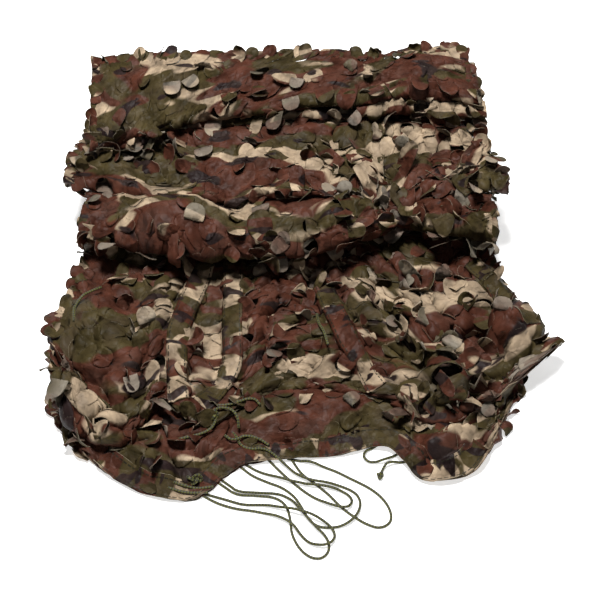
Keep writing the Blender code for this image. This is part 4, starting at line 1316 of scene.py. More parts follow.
def leaf_form(leaves, rows, columns):
    """A leaf's flat form and its line seen from the side.

    The line turns up by the lift over its first quarter, by the curl along its length, and
    sharply at its crease. The form is a tongue: broad at the root, with the hole's round tip.
    Returns the share of the length, x and y on the flat leaf, the line's angle, and how far
    it has come forward and up.
    """
    s = np.concatenate([[ROOT_START], np.sin(np.linspace(0.0, 0.48 * math.pi, rows - 1))])
    s = s[None, :, None]
    across = np.sin(np.linspace(-0.5 * math.pi, 0.5 * math.pi, columns))[None, None, :]
    length = 2 * leaves.long * (1 - ROOT_SHARE) * LEAF_SPREAD
    from_middle = 2 * (ROOT_SHARE + np.clip(s, 0, 1) * (1 - ROOT_SHARE)) - 1
    round_tip = np.clip(1 - np.clip(from_middle, 0, 1) ** LEAF_POWER, 0.002, 1) ** (1 / LEAF_POWER)
    broad_root = 1 - (1 - ROOT_WIDTH) * from_middle ** 2
    half = leaves.wide * LEAF_SPREAD * np.where(from_middle > 0, round_tip, broad_root)
    x = s * length + 0 * across
    y = half * across + 0 * s
    slanted = s + CREASE_SLANT * across * np.sign(leaves.crease)
    angle = (leaves.lift * smooth_step(ramp(s, 0, LIFT_LENGTH)) + leaves.curl * s
             + leaves.crease * ramp(slanted - leaves.crease_at, 0, CREASE_WIDTH))
    angle = np.where(s < 0, 0.0, angle) + 0 * across
    steps = np.diff(x, axis=1)
    mean_angle = (angle[:, 1:] + angle[:, :-1]) / 2
    start = x[:, :1]
    forward = np.concatenate([start, start + np.cumsum(steps * np.cos(mean_angle), axis=1)], axis=1)
    up = np.concatenate([0 * start, np.cumsum(steps * np.sin(mean_angle), axis=1)], axis=1)
    return s, x, y, angle, forward, up


def root_frame(root_u, root_v, turn):
    """The cloth at the leaves' roots: the point, straight up from it, and the leaves' way."""
    step = 2 * MM
    inside_u = np.clip(root_u, step, CLOTH_WIDTH - step)
    across = at_flat(cloth, inside_u + step, root_v) - at_flat(cloth, inside_u - step, root_v)
    up = unit(at_flat(normals, root_u, root_v))
    across = unit(across - (across * up).sum(axis=-1, keepdims=True) * up)
    ahead = np.cos(turn)[..., None] * across + np.sin(turn)[..., None] * np.cross(up, across)
    return at_flat(cloth, root_u, root_v), up, ahead


def leaf_sheets(leaves, rows, columns):
    """Points, normals, triangles and flat places of many leaves at once.

    A free leaf stands on the cloth at its root: it turns about its line by the twist, and
    its sides bend up by the cup. A resting leaf is its flat form laid on the cloth. Each is
    a mix of both, by its lift and curl, kept off the floor and below the ceiling.
    """
    count = len(leaves.u)
    leaves = Leaves(*[column[:, None, None] for column in leaves])
    s, x, y, angle, forward, rise = leaf_form(leaves, rows, columns)
    sin_turn, cos_turn = np.sin(leaves.turn), np.cos(leaves.turn)
    to_root = leaves.long * (1 - 2 * ROOT_SHARE)
    root_u, root_v = leaves.u - cos_turn * to_root, leaves.v - sin_turn * to_root
    flat_u = root_u + x * cos_turn - y * sin_turn
    flat_v = root_v + x * sin_turn + y * cos_turn

    root, up, ahead = root_frame(root_u, root_v, leaves.turn)
    leaf_up = np.cos(angle)[..., None] * up - np.sin(angle)[..., None] * ahead
    twisted = (leaves.twist * np.clip(s, 0, 1) + 0 * y)[..., None]
    sideways = np.cos(twisted) * np.cross(up, ahead) + np.sin(twisted) * leaf_up
    cupped = leaves.cup * y ** 2
    free = (root + forward[..., None] * ahead + rise[..., None] * up + y[..., None] * sideways
            + cupped[..., None] * leaf_up)

    place = (np.arange(count) % STACKED_LEAVES / STACKED_LEAVES)[:, None, None]
    clear = FABRIC_THICKNESS * (1.3 + 2.6 * place) * ramp(s, 0, SETTLE_LENGTH) + 0 * y
    over = np.clip(rise, 0, None) + clear + cupped * 0.3
    resting = at_flat(cloth, flat_u, flat_v) + at_flat(normals, flat_u, flat_v) * over[..., None]

    lifted = ramp(np.abs(leaves.lift) + np.abs(leaves.curl), RESTING_BELOW, FREE_ABOVE)[..., None]
    points = resting * (1 - lifted) + free * lifted
    points = points + (FABRIC_THICKNESS * 1.1) * np.where(s[..., None] < 0.1, -up, 0 * up)
    points[..., 2] = np.maximum(points[..., 2], LEAF_OFF_FLOOR)
    above = np.clip(points[..., 2] - SOFT_CEILING, 0, None)
    points[..., 2] += CEILING_ROOM * np.tanh(above / CEILING_ROOM) - above
    leaf_normals = np.cross(np.gradient(points, axis=1), np.gradient(points, axis=2))
    size = np.linalg.norm(leaf_normals, axis=-1, keepdims=True)
    leaf_normals = np.where(size > TINY, leaf_normals / np.maximum(size, TINY), up)
    triangles = cut_in_two(grid_faces(rows, columns)[:, ::-1])[None]
    triangles = triangles + (np.arange(count) * rows * columns)[:, None, None]
    flat = np.stack([flat_u, flat_v], axis=-1)
    return (points.reshape(-1, 3), leaf_normals.reshape(-1, 3), triangles.reshape(-1, 3),
            flat.reshape(-1, 2))

# %% [markdown]
# ## The printed cloth
# The cloth is a thin matt coated polyester, roller printed in sand, leaf green, earth brown
# and near black. The back takes little ink, so it is greyer and paler. The print is noise cut
# at a level, which gives the crisp rounded patches of a common woodland print. It is faded
# unevenly, a grey painted sheen lies on it in places, and small facets lean all ways where it
# crinkles.

# %% Coated polyester in a woodland print
CLOTH_STRETCH = (0.48, 1.0)  # printed patches are about twice as wide as they are long
TAPE_STRETCH = (1.5, 0.7)  # a tape's patches are short and run right across it
PRINT_TURN = math.radians(-14.0)
PRINT_EDGE = 0.012  # of the noise's levels, half as wide as a patch's soft edge
Ink = namedtuple("Ink", "colour size")
GROUND = "917f69"
INKS = [Ink("372f1b", 46 * MM), Ink("41241a", 50 * MM), Ink("1f1615", 30 * MM)]
CLOTH_CUTS = (0.463, 0.504, 0.636)  # the level at which each ink's noise is cut
TAPE_CUTS = (0.46, 0.54, 0.58)
# PAINTED_SHEEN: a grey that is mixed into the print in patches, as a painted sheen
PAINTED_SHEEN, BACK, RIM = "64534a", "847c6f", "a59c86"
CRINKLES = [(24 * MM, 0.80), (9 * MM, 0.52), (3.5 * MM, 0.40)]  # size of facets, their lean
CRINKLE_WARP = 16 * MM
CUT_EDGE = 0.5  # the rim runs from 0 on the face to 1 on the back


def print_patches(tree, place, size, seed, cut):
    """A mask of patches: one noise, stretched across the cloth, cut at a level."""
    moved = add_node(tree, "VectorMath", {0: place, 1: (seed * 3.7, seed * 1.9, seed)},
                     operation="ADD")[0]
    level = add_node(tree, "TexNoise", {"Vector": moved, "Scale": 1.0 / size, "Detail": 2.2,
                                        "Roughness": 0.42, "Distortion": 0.4})["Fac"]
    return add_node(tree, "MapRange", {0: level, 1: cut - PRINT_EDGE, 2: cut + PRINT_EDGE})[0]


def leaning_facets(tree, place, size):
    """Height in metres of flat facets: each cell of a Voronoi pattern leans its own way.

    The lean is the cell's random colour, from -0.5 to 0.5, and the height is the lean times
    the way from the cell's middle.
    """
    cell = add_node(tree, "TexVoronoi", {"Vector": place, "Scale": 1.0 / size},
                    voronoi_dimensions="2D")
    lean = add_node(tree, "VectorMath", {0: cell["Color"], 1: (1.0, 1.0, 0.0),
                                         2: (-0.5, -0.5, 0.0)}, operation="MULTIPLY_ADD")[0]
    aside = add_node(tree, "VectorMath", {0: place, 1: cell["Position"]}, operation="SUBTRACT")[0]
    return add_node(tree, "VectorMath", {0: lean, 1: aside}, operation="DOT_PRODUCT")["Value"]


def worn_colour_and_painted_sheen(tree, uv, colour):
    """A print's colour, faded unevenly, under patches of painted grey sheen, and paler on the back
    and the rim.
    """
    fade = add_node(tree, "TexNoise", {"Vector": uv, "Scale": 45.0, "Detail": 4.0})["Fac"]
    fade = add_node(tree, "MapRange", {0: fade, 1: 0.3, 2: 0.7, 3: 0.56, 4: 1.58})[0]
    colour = add_node(tree, "VectorMath", {0: colour, 1: fade}, operation="MULTIPLY")[0]
    # painted sheen: patches where a grey is mixed in, standing in for light that the fabric
    # reflects
    painted_sheen = add_node(tree, "TexNoise", {"Vector": uv, "Scale": 38.0, "Detail": 3.0,
                                       "Distortion": 0.6})["Fac"]
    painted_sheen = add_node(tree, "MapRange", {0: painted_sheen, 1: 0.45, 2: 0.72, 3: 0.0, 4: 0.16})[0]
    colour = add_node(tree, "Mix", {0: painted_sheen, 6: colour, 7: linear(PAINTED_SHEEN)}, data_type="RGBA")[2]
    back = add_node(tree, "Attribute", attribute_name="back")["Fac"]
    bare = add_node(tree, "TexNoise", {"Vector": uv, "Scale": 22.0, "Detail": 0.0})["Fac"]
    bare = add_node(tree, "MapRange", {0: bare, 1: 0.35, 2: 0.65, 3: 0.20, 4: 0.70})[0]
    pale = add_node(tree, "Mix", {0: bare, 6: colour, 7: linear(BACK)}, data_type="RGBA")[2]
    colour = add_node(tree, "Mix", {0: back, 6: colour, 7: pale}, data_type="RGBA")[2]
    rim = add_node(tree, "Math", {0: back, 1: CUT_EDGE}, operation="PINGPONG")[0]
    return add_node(tree, "Mix", {0: rim, 6: colour, 7: linear(RIM)}, data_type="RGBA")[2]


def printed_cloth(name, stretch, cuts):
    """Three inks over the ground, worn and under painted sheen, on a cloth with crinkles of three
    sizes.
    """
    material, tree, shader = new_material(name, 0.50, specular=0.08)
    uv = add_node(tree, "UVMap", uv_map="flat")[0]
    place = add_node(tree, "Mapping", {0: uv, 2: (0.0, 0.0, PRINT_TURN), 3: (*stretch, 1.0)})[0]
    colour = linear(GROUND)
    for seed, (ink, cut) in enumerate(zip(INKS, cuts), start=1):
        patches = print_patches(tree, place, ink.size, seed, cut)
        colour = add_node(tree, "Mix", {0: patches, 6: colour, 7: linear(ink.colour)},
                          data_type="RGBA")[2]
    colour = worn_colour_and_painted_sheen(tree, uv, colour)
    bent = add_node(tree, "TexNoise", {"Vector": uv, "Scale": 40.0, "Detail": 2.0})["Color"]
    bent = add_node(tree, "VectorMath", {0: bent, 1: (CRINKLE_WARP,) * 3, 2: uv},
                    operation="MULTIPLY_ADD")[0]
    height = 0.0
    for size, lean in CRINKLES:
        leant = leaning_facets(tree, bent, size)
        height = add_node(tree, "Math", {0: leant, 1: lean, 2: height},
                          operation="MULTIPLY_ADD")[0]
    bump = add_node(tree, "Bump", {"Height": height, "Strength": 1.0, "Distance": 1.0})[0]
    tree.links.new(colour, shader.inputs["Base Color"])
    tree.links.new(bump, shader.inputs["Normal"])
    return material


CLOTH = printed_cloth("coated_polyester_woodland_print", CLOTH_STRETCH, CLOTH_CUTS)

# %% [markdown]
# ## Which leaves stand up
# Where the cloth is pulled smooth its leaves stay flat in their cuts. Where it is bunched
# they curl up, and some turn right over and show their pale backs. A leafiness for each
# layer, and for a few listed places, sets how many do.

# %% Leafiness of each place
LAYER_LEAFINESS = {"floor": 0.22, "spread": 0.42, "roll_over": 0.20, "shelf": 0.34,
                   "top_lower": 0.30, "top": 0.10}
HIDDEN_LEAFINESS = 0.15
FOLD_LEAFINESS = 0.45  # leaves stand away from a cloth that bends round a fold
LEAFINESS_SCATTER = 0.35
Patch = namedtuple("Patch", "x y reach_x reach_y leafiness")
LEAFY_PATCHES = [
    Patch(-0.200, 0.095, 0.125, 0.045, -0.42),  # the roll's smooth left front
    Patch(-0.230, 0.160, 0.060, 0.035, 0.45),  # standing, at the shelf's left
    Patch(0.250, 0.120, 0.040, 0.060, 0.50),  # gathered right end
    Patch(0.130, 0.085, 0.150, 0.032, 0.55),  # the roll's right half, open
    Patch(0.100, 0.155, 0.150, 0.035, 0.42),  # the shelf above it
    Patch(0.010, -0.020, 0.060, 0.050, 0.50),  # tuft between the straps
    Patch(0.000, -0.090, 0.070, 0.045, 0.40),  # below the tuft
    Patch(0.000, -0.185, 0.100, 0.030, 0.40),  # middle of the flap
    Patch(0.170, -0.060, 0.100, 0.060, 0.35),  # right bunch
    Patch(-0.215, -0.040, 0.060, 0.035, -0.35),  # smooth, behind the left bunch
    Patch(-0.250, -0.170, 0.040, 0.040, -0.20),  # the left bunch's smooth lobe
    Patch(-0.150, -0.230, 0.080, 0.035, 0.50),  # flap below the left bunch
    Patch(0.175, -0.220, 0.070, 0.040, 0.60),  # flap below the right bunch
]


def layer_at(v):
    """The layer, as a number with a fraction in a fold, at places along the flat cloth."""
    return np.interp(v, row_v, row_layer)


def leafiness_at(u, v):
    """Share from 0 to 1 of the leaves that stand up, from the layer and the nearby patches."""
    by_layer = np.array([LAYER_LEAFINESS.get(name, HIDDEN_LEAFINESS) for name in LAYER_NAMES])
    total = by_layer[np.round(layer_at(v)).astype(int)]
    x, y, _ = np.moveaxis(at_flat(smooth_cloth, u, v), -1, 0)
    for patch in LEAFY_PATCHES:
        total = total + patch.leafiness * bell(x, y, patch)
    total = total + FOLD_LEAFINESS * np.sin(math.pi * (layer_at(v) % 1.0))
    total = total + LEAFINESS_SCATTER * gradient_noise(u, v, 80 * MM, 41)
    return np.clip(total, 0.0, 1.0) * calm_at(x, y)


RAISED_SHARE = 0.72  # of the leaves where the leafiness is 1
OVER_SHARE = 0.055


def drawn_leaves(u, v, turn, long, wide, leafy, seed):
    """Draw each leaf's lift, curl, twist and cup: resting, raised or turned right over."""
    rng = np.random.default_rng(seed)
    count = len(u)
    chance = rng.uniform(0.0, 1.0, count)
    raised = chance < RAISED_SHARE * leafy
    over = chance > 1.0 - OVER_SHARE * leafy
    lift = np.abs(rng.normal(0.04, 0.10, count))
    lift = np.where(raised, rng.uniform(0.18, 0.85, count), lift)
    lift = np.where(over, rng.uniform(2.6, 3.0, count), lift)
    curl = np.where(raised, rng.normal(0.0, 0.45, count), rng.normal(0.0, 0.16, count))
    twist = np.where(raised, rng.normal(0.0, 0.4, count), 0.0)
    cup = np.where(raised | over, rng.normal(0.0, 3.5, count), rng.normal(0.0, 2.5, count))
    creased = raised & (rng.uniform(0.0, 1.0, count) < 0.75)
    crease = np.where(creased, rng.normal(0.0, 0.8, count), 0.0)
    return Leaves(u, v, turn, long, wide, lift, curl, twist, cup, crease,
                  rng.uniform(0.35, 0.65, count))

# %% [markdown]
# ## The leaves that catch the eye
# A few leaves are placed one by one, by the layer that each grows from and its place on the
# net. Some are turned right over, and others hang over the edge of a step.

# %% Leaves placed one by one: place, way it points, half length, half width, lift
Placed = namedtuple("Placed", "layer x y turn long wide lift")
OVER = 2.98  # radians of lift: turned right over, to its pale back
PLACED_CURL, PLACED_CUP, PLACED_CREASE_AT = 0.15, 2.0, 0.5
SHOWN_CRUMPLE = 1.3 * MM  # rows that are crumpled more than this are seen
PLACED_LEAVES = grouped(Placed, {
    "top": [
        (-167, 282, 1.4, 14, 11, OVER), (-150, 286, 1.9, 13, 10, OVER),
        (-8, 262, 1.6, 14, 11, OVER), (6, 290, 1.2, 12, 9, OVER),
        (30, 262, -1.3, 15, 11, 0.5), (62, 259, -1.8, 16, 12, 0.4), (98, 262, -1.4, 14, 10, 0.6),
        (128, 266, -1.1, 17, 12, 0.4), (160, 269, -1.7, 15, 11, 0.5),
        (196, 266, -1.3, 16, 12, 0.5), (-60, 264, -1.6, 14, 11, 0.5),
        (-100, 258, -1.2, 15, 10, 0.5)],
    "shelf": [
        (-128, 205, 1.7, 14, 12, OVER), (-172, 185, 1.2, 12, 10, 0.7),
        (41, 185, 2.4, 18, 9, 0.6), (116, 185, 1.0, 20, 10, 0.5), (146, 167, 0.5, 24, 13, 0.5),
        (93, 139, 2.2, 25, 15, 0.45), (221, 157, 0.9, 24, 12, 0.4), (-5, 130, 1.8, 15, 10, 0.6)],
    "roll_over": [
        (-47, 99, 1.5, 13, 11, OVER), (-48, 56, 1.8, 16, 14, 0.4),
        (96, 101, -2.0, 15, 8, 0.9), (54, 71, -1.2, 16, 9, 0.9),
        (-136, 46, -1.6, 15, 12, OVER), (-82, 54, -1.4, 14, 12, 0.5),
        (181, 85, -1.0, 20, 12, 0.5)],
    "spread": [
        (-228, 27, -1.5, 13, 12, 0.5), (-187, 24, -1.7, 13, 12, 0.5),
        (-155, 27, -1.2, 13, 11, 0.5), (-187, -70, -1.6, 14, 11, OVER),
        (-202, -70, -1.2, 14, 11, 0.4), (-192, -126, 1.5, 14, 9, OVER),
        (-273, -145, 1.8, 16, 14, OVER), (-285, -150, 2.6, 13, 9, OVER),
        (-239, -195, 0.6, 17, 8, 0.5), (113, 21, -1.3, 16, 11, 0.8), (149, 16, -1.6, 18, 9, 0.8),
        (148, -78, -1.5, 15, 10, OVER), (171, -121, -1.9, 14, 10, OVER),
        (183, -108, -1.2, 15, 9, 0.7), (194, -160, -1.5, 15, 11, OVER),
        (234, -150, -1.8, 14, 11, 0.5), (225, -46, -1.1, 17, 9, 0.8),
        (240, -69, -2.2, 13, 11, OVER)],
}, plain=("turn", "lift"))


def placed_flat(placed):
    """Where on the flat cloth each placed leaf is: the nearest shown point of its layer."""
    found = []
    for leaf in placed:
        rows = ((np.abs(row_layer - LAYER_NAMES.index(leaf.layer)) < 0.45)
                & (row_crumple > SHOWN_CRUMPLE)).nonzero()[0]
        away = np.linalg.norm(cloth[rows, :, :2] - [leaf.x, leaf.y] - ORIGIN_SHIFT, axis=2)
        row, column = np.unravel_index(away.argmin(), away.shape)
        found.append((grid_u[rows[row], column], grid_v[rows[row], column]))
    return np.array(found)


PLACED_AT = placed_flat(PLACED_LEAVES)


def placed_leaves(v_first, v_last):
    """The placed leaves of one strip of the cloth."""
    here = ((PLACED_AT[:, 1] >= v_first) & (PLACED_AT[:, 1] < v_last)).nonzero()[0]
    turn, long, wide, lift = np.array([PLACED_LEAVES[i][3:] for i in here]).reshape(-1, 4).T
    none = np.zeros(len(here))
    return Leaves(*PLACED_AT[here].T, turn, long, wide, lift, none + PLACED_CURL, none,
                  none + PLACED_CUP, none, none + PLACED_CREASE_AT)

# %% [markdown]
# ## The cloth in pieces
# Each step of the fold is a piece of its own, and the hidden stretches between them are one
# more, with plainer cells. A piece's second mesh holds the leaves that grow between the cells
# and along the net's edge. Not every leaf is cut free, where the cloth is pulled flat. The
# drawn cloth is shorter than the real one where it is hidden, so each shown step starts at
# another place of the printed roll.

# %% Rows of cells that show, and the piece that each belongs to
INNER_PIECE = "net_inner_layers"
STEP_PIECES = ["net_front_flap", *["net_front_bunches"] * 2, *["net_middle_roll"] * 2,
               *["net_middle_shelf"] * 2, *["net_top_step"] * 4]    # of each layer, from below
ROLL_PLACES = {"net_front_flap": 5.84, "net_front_bunches": 51.85, "net_middle_roll": 31.11,
               "net_middle_shelf": 72.59, "net_top_step": 2.92, INNER_PIECE: 0.0}    # metres

row_length = CLOTH_LENGTH / CELLS_ALONG
middle_v = (np.arange(CELLS_ALONG) + 0.5) * row_length
near_v = middle_v[:, None] + np.linspace(-0.5, 0.5, 5)[None, :] * row_length
row_shown = np.interp(near_v, row_v, row_crumple).max(axis=1) > SHOWN_CRUMPLE
row_piece = [STEP_PIECES[round(layer_at(v))] if shown else INNER_PIECE
             for v, shown in zip(middle_v, row_shown)]
print("shown rows of cells:", int(row_shown.sum()), "of", CELLS_ALONG)

# %% Which leaves are cut
cut_share = 0.62 + 0.45 * leafiness_at(leaf_u, leaf_v)
cut_share[layer_at(leaf_v) < 0.5] = 0.0  # the flap: the floor would show through
leaf_x, leaf_y, _ = np.moveaxis(at_flat(smooth_cloth, leaf_u, leaf_v), -1, 0)
cut_share[(leaf_x > 250 * MM) & (leaf_y < -60 * MM)] = 0.0  # one layer only
open_leaf = np.random.default_rng(51).uniform(0, 1, leaf_u.shape) < cut_share
has_leaf = open_leaf | (np.random.default_rng(52).uniform(0, 1, leaf_u.shape) < 0.45)
print("leaves cut free:", int(open_leaf.sum()), "of", open_leaf.size)

# %% The leaves of a strip, between its cells and along its edges
SHOWN_DETAIL = (8, 8, 7)  # points on a cell's side; rows and columns of a leaf
INNER_DETAIL = (2, 3, 3)
EXTRA_LEAVES = 3  # drawn at each corner of the cells, and kept where leafy
EXTRA_JITTER = 9 * MM
EXTRA_HALF_SIZES = (9 * MM, 18 * MM), (6.5 * MM, 11 * MM)  # half lengths, half widths
EDGE_HALF_SIZES = (8 * MM, 12 * MM), (7 * MM, 9.5 * MM)
EDGE_JITTER, EDGE_INSET, EDGE_LEAFINESS = 5 * MM, 9 * MM, 0.6
PRINT_SHIFT = 0.12  # a raised one comes from elsewhere, so its print breaks
RAISED_FROM = 0.18  # a lift below this is a leaf at rest, in its own print


def print_shifts(rng, count):
    """How far aside on the printed roll each leaf was cut, at random."""
    return rng.uniform(-PRINT_SHIFT, PRINT_SHIFT, (count, 2))


def grown(rng, u, v, turn, half_sizes, leafy, seed):
    """Drawn leaves of random sizes, and their print's shifts."""
    long, wide = [rng.uniform(*sizes, len(u)) for sizes in half_sizes]
    return drawn_leaves(u, v, turn, long, wide, leafy, seed), print_shifts(rng, len(u))


def cell_leaves(first, last, inner):
    """The leaves in their cells' holes, with the print of the cloth that they were cut from."""
    here = np.zeros(leaf_u.shape, dtype=bool)
    here[first:last] = has_leaf[first:last]
    u, v = leaf_u[here], leaf_v[here]
    leafy = 0.0 * u if inner else leafiness_at(u, v) * open_leaf[here]
    leaves = drawn_leaves(u, v, leaf_turn[here], leaf_long[here], leaf_wide[here], leafy,
                          100 + first)
    return leaves, np.zeros((len(u), 2))


def extra_leaves(first, last, rng):
    """Leaves that grow from the corners of the cells, more where the net is leafy."""
    u, v = [np.tile(corner[first:last, 1:-1].ravel(), EXTRA_LEAVES) for corner in (cell_u, cell_v)]
    u = u + rng.uniform(-EXTRA_JITTER, EXTRA_JITTER, len(u))
    v = v + rng.uniform(-EXTRA_JITTER, EXTRA_JITTER, len(v))
    kept = rng.uniform(0, 1, len(u)) < 0.015 + 0.78 * leafiness_at(u, v)
    u, v = u[kept], v[kept]
    turn = rng.uniform(-math.pi, math.pi, len(u))
    leafy = 0.2 + 0.8 * leafiness_at(u, v)
    leaves, shifts = grown(rng, u, v, turn, EXTRA_HALF_SIZES, leafy, 300 + first)
    return leaves, shifts * (leaves.lift > RAISED_FROM)[:, None]


def edge_leaves(first, last, inner, rng):
    """Groups of leaves along both side edges, and along the cloth's end if it is here."""
    v_first, v_last = cell_v[[first, last], 0]
    groups = []
    for edge, outward in ((0.0, math.pi), (CLOTH_WIDTH, 0.0), (None, math.pi / 2)):
        if edge is not None:
            count = round((v_last - v_first) / (22 * MM if inner else 10 * MM))
            v = np.linspace(v_first, v_last, count) + rng.uniform(-EDGE_JITTER, EDGE_JITTER, count)
            u = edge - np.cos(outward) * rng.uniform(0.0, EDGE_INSET, count)
        elif last == CELLS_ALONG:
            count = round(CLOTH_WIDTH / (8 * MM))
            u = rng.uniform(0.0, CLOTH_WIDTH, count)
            v = CLOTH_LENGTH - rng.uniform(2 * MM, 12 * MM, count)
        else:
            continue
        turn = outward + rng.normal(0.0, 0.7, count)
        groups.append(grown(rng, u, np.clip(v, 0, CLOTH_LENGTH), turn, EDGE_HALF_SIZES,
                            np.full(count, EDGE_LEAFINESS), 400 + first))
    return groups


# %% Build the cloth, piece by piece
LOWEST_POINT = 0.05 * MM


def leaf_part(leaves, shift, rows, columns):
    """A group of leaves as one part: points, flat places, marks and triangles."""
    points, leaf_normals, triangles, flat = leaf_sheets(leaves, rows, columns)
    return two_sided(points, leaf_normals, triangles, flat + shift.repeat(rows * columns, axis=0))


def strip_parts(first, last, inner):
    """One strip of the cloth: its own parts, and the parts that are more leaves."""
    side_points, rows, columns = INNER_DETAIL if inner else SHOWN_DETAIL
    flat, triangles = cell_sheet(first, last, side_points, open_leaf)
    u, v = flat.T
    own = [two_sided(at_flat(cloth, u, v), at_flat(normals, u, v), triangles, flat),
           leaf_part(*cell_leaves(first, last, inner), rows, columns)]
    rng = np.random.default_rng(200 + first)
    groups = [] if inner else [extra_leaves(first, last, rng)]
    groups += edge_leaves(first, last, inner, rng)
    placed = placed_leaves(*cell_v[[first, last], 0])
    if not inner and len(placed.u):
        groups.append((placed, print_shifts(rng, len(placed.u))))
    return own, [leaf_part(*group, rows, columns) for group in groups]


def joined_piece(name, parts, roll_place):
    """One mesh piece of many parts: their points one after another, their faces moved on."""
    points, flat, back, faces = zip(*parts)
    starts = np.cumsum([0, *[len(part) for part in points[:-1]]])
    points = np.concatenate(points)
    points[:, 2] = np.maximum(points[:, 2], LOWEST_POINT)
    faces = np.concatenate([part + start for part, start in zip(faces, starts)])
    piece = mesh_piece(name, points, faces, np.concatenate(flat) + [0.0, roll_place], CLOTH,
                       np.concatenate(back))
    return dressed(piece, "net_cloth")


strips = {}
start = 0
for row in range(1, CELLS_ALONG + 1):
    if row == CELLS_ALONG or row_piece[row] != row_piece[start]:
        strips.setdefault(row_piece[start], []).append((start, row))
        start = row
for name, rows in strips.items():
    own, more = [sum(parts, []) for parts in
                 zip(*[strip_parts(first, last, name == INNER_PIECE) for first, last in rows])]
    piece = joined_piece(name, own, ROLL_PLACES[name])
    extra = joined_piece(name + "_leaves", more, ROLL_PLACES[name])
    spans = [np.interp(cell_v[[first, last], 0], row_v, row_run) for first, last in rows]
    length = sum(high - low for low, high in spans)

# %% [markdown]
# ## The edge tapes
# The net's free edge and its loose ends are bound with a 25 mm tape of the same printed
# polyester, sewn along both sides. A tape holds its width but buckles lengthwise, so each is
# a grid carried along its line. Rays from above lay it on the crumpled cloth, just clear of
# it, and its sides curl up a little.

# %% Sewn tape of printed polyester
TAPE_STEP = 2.0 * MM
TAPE_ACROSS = 9
TAPE_THICKNESS = 0.9 * MM
TAPE_LIFT = 2.0 * MM  # how far a buckled tape waves up and down
TAPE_CURL = 1.6 * MM  # how far its sides stand up
TAPE_OFF_FLOOR = 0.8 * MM
NEAR_THE_NET = 30 * MM  # from this height the nearest cloth is sought beside it
STITCH_INSET = 3.0 * MM
STITCH_LENGTH = 3.2 * MM


def sewn_tape():
    """The cloth's own print in smaller patches, with two dashed stitch lines and creases."""
    material = printed_cloth("sewn_polyester_tape", TAPE_STRETCH, TAPE_CUTS)
    tree = material.node_tree
    shader = tree.nodes["Principled BSDF"]
    printed = shader.inputs["Base Color"].links[0].from_socket
    place = add_node(tree, "UVMap", uv_map="tape")[0]
    run, across = add_node(tree, "SeparateXYZ", {0: place})[:2]
    aside = add_node(tree, "Math", {0: across}, operation="ABSOLUTE")[0]
    off = add_node(tree, "Math", {0: aside, 1: BINDING_WIDTH / 2 - STITCH_INSET},
                   operation="SUBTRACT")[0]
    off = add_node(tree, "Math", {0: off}, operation="ABSOLUTE")[0]
    line = add_node(tree, "MapRange", {0: off, 1: 0.3 * MM, 2: 0.9 * MM, 3: 1.0, 4: 0.0})[0]
    dash = add_node(tree, "Math", {0: run, 1: STITCH_LENGTH}, operation="PINGPONG")[0]
    dash = add_node(tree, "MapRange", {0: dash, 1: 0.6 * MM, 2: 1.2 * MM})[0]
    stitch = add_node(tree, "Math", {0: line, 1: dash}, operation="MULTIPLY")[0]
    colour = add_node(tree, "Mix", {0: stitch, 6: printed, 7: linear("26241c")},
                      data_type="RGBA")[2]
    tree.links.new(colour, shader.inputs["Base Color"])
    return material


TAPE = sewn_tape()

# Each tape was cut from another part of the printed cloth: where, along its width, in metres.
PRINT_STARTS = {"binding_front": 22.94, "binding_strap_left": 27.59, "binding_strap_outer": 27.90,
                "binding_strap_middle": 25.11, "binding_strap_right": 25.73}


def tape_grid(name, number, seed):
    """A tape's points, in a grid along and across it, and each one's place on the tape.

    Rays cast down on the layer that it is sewn to give its height. Noise along it and
    curled-up sides are added.
    """
    tree = grid_tree(cloth[np.abs(row_layer - number) < 0.5])
    line = evenly(TAPE_LINES[name], TAPE_STEP)
    forward = unit(np.gradient(line, axis=0))
    aside = np.column_stack([forward[:, 1], -forward[:, 0]])
    steps = np.linspace(-0.5, 0.5, TAPE_ACROSS) * BINDING_WIDTH
    plan = line[:, None, :] + aside[:, None, :] * steps[None, :, None]
    heights = np.zeros(plan.shape[:2])
    for i, row in enumerate(plan):
        for j, (x, y) in enumerate(row):
            height = top_of(tree, x, y)
            if height is None:
                height = tree.find_nearest(Vector((x, y, NEAR_THE_NET)))[0].z
            heights[i, j] = height + TAPE_THICKNESS
    across, run = np.meshgrid(steps, lengths_along(line))
    wave = gradient_noise(run, across * 0.4, 26 * MM, seed)
    curl = gradient_noise(run, 0 * run, 40 * MM, seed + 1)
    heights += (TAPE_LIFT * (wave + 0.6)
                + TAPE_CURL * (curl + 0.3) * (2 * across / BINDING_WIDTH) ** 2)
    heights = np.maximum(heights, TAPE_OFF_FLOOR)
    return np.concatenate([plan, heights[:, :, None]], axis=2), np.stack([run, across], axis=-1)


for order, name in enumerate(TAPE_LINES):
    below, number = ("net_front_flap", 0) if name == "binding_front" else ("net_front_bunches", 2)
    grid, place = tape_grid(name, number, 71 + order)
    triangles = cut_in_two(grid_faces(*grid.shape[:2]))
    points, place, back, faces = two_sided(grid.reshape(-1, 3), normals_of(grid).reshape(-1, 3),
                                           triangles, place.reshape(-1, 2), TAPE_THICKNESS)
    piece = mesh_piece(name + "_tape", points, faces, place + [0.0, PRINT_STARTS[name]], TAPE, back)
    add_uv_map(piece.data, "tape", place)
    dressed(piece, name)

# %% [markdown]
# ## The knots
# Each knot is a short piece of the same cord that passes three times through its own loop: a
# trefoil, pulled flat so that it fills the CAD knot's box, and lifted on to the crumpled
# cloth. The right tail ends in a smaller one on the floor.

# %% Knots of the same cord
TAIL_KNOT_SIZE = np.array([9.0, 10.0, 7.0]) * MM
KNOT_POINTS = 60


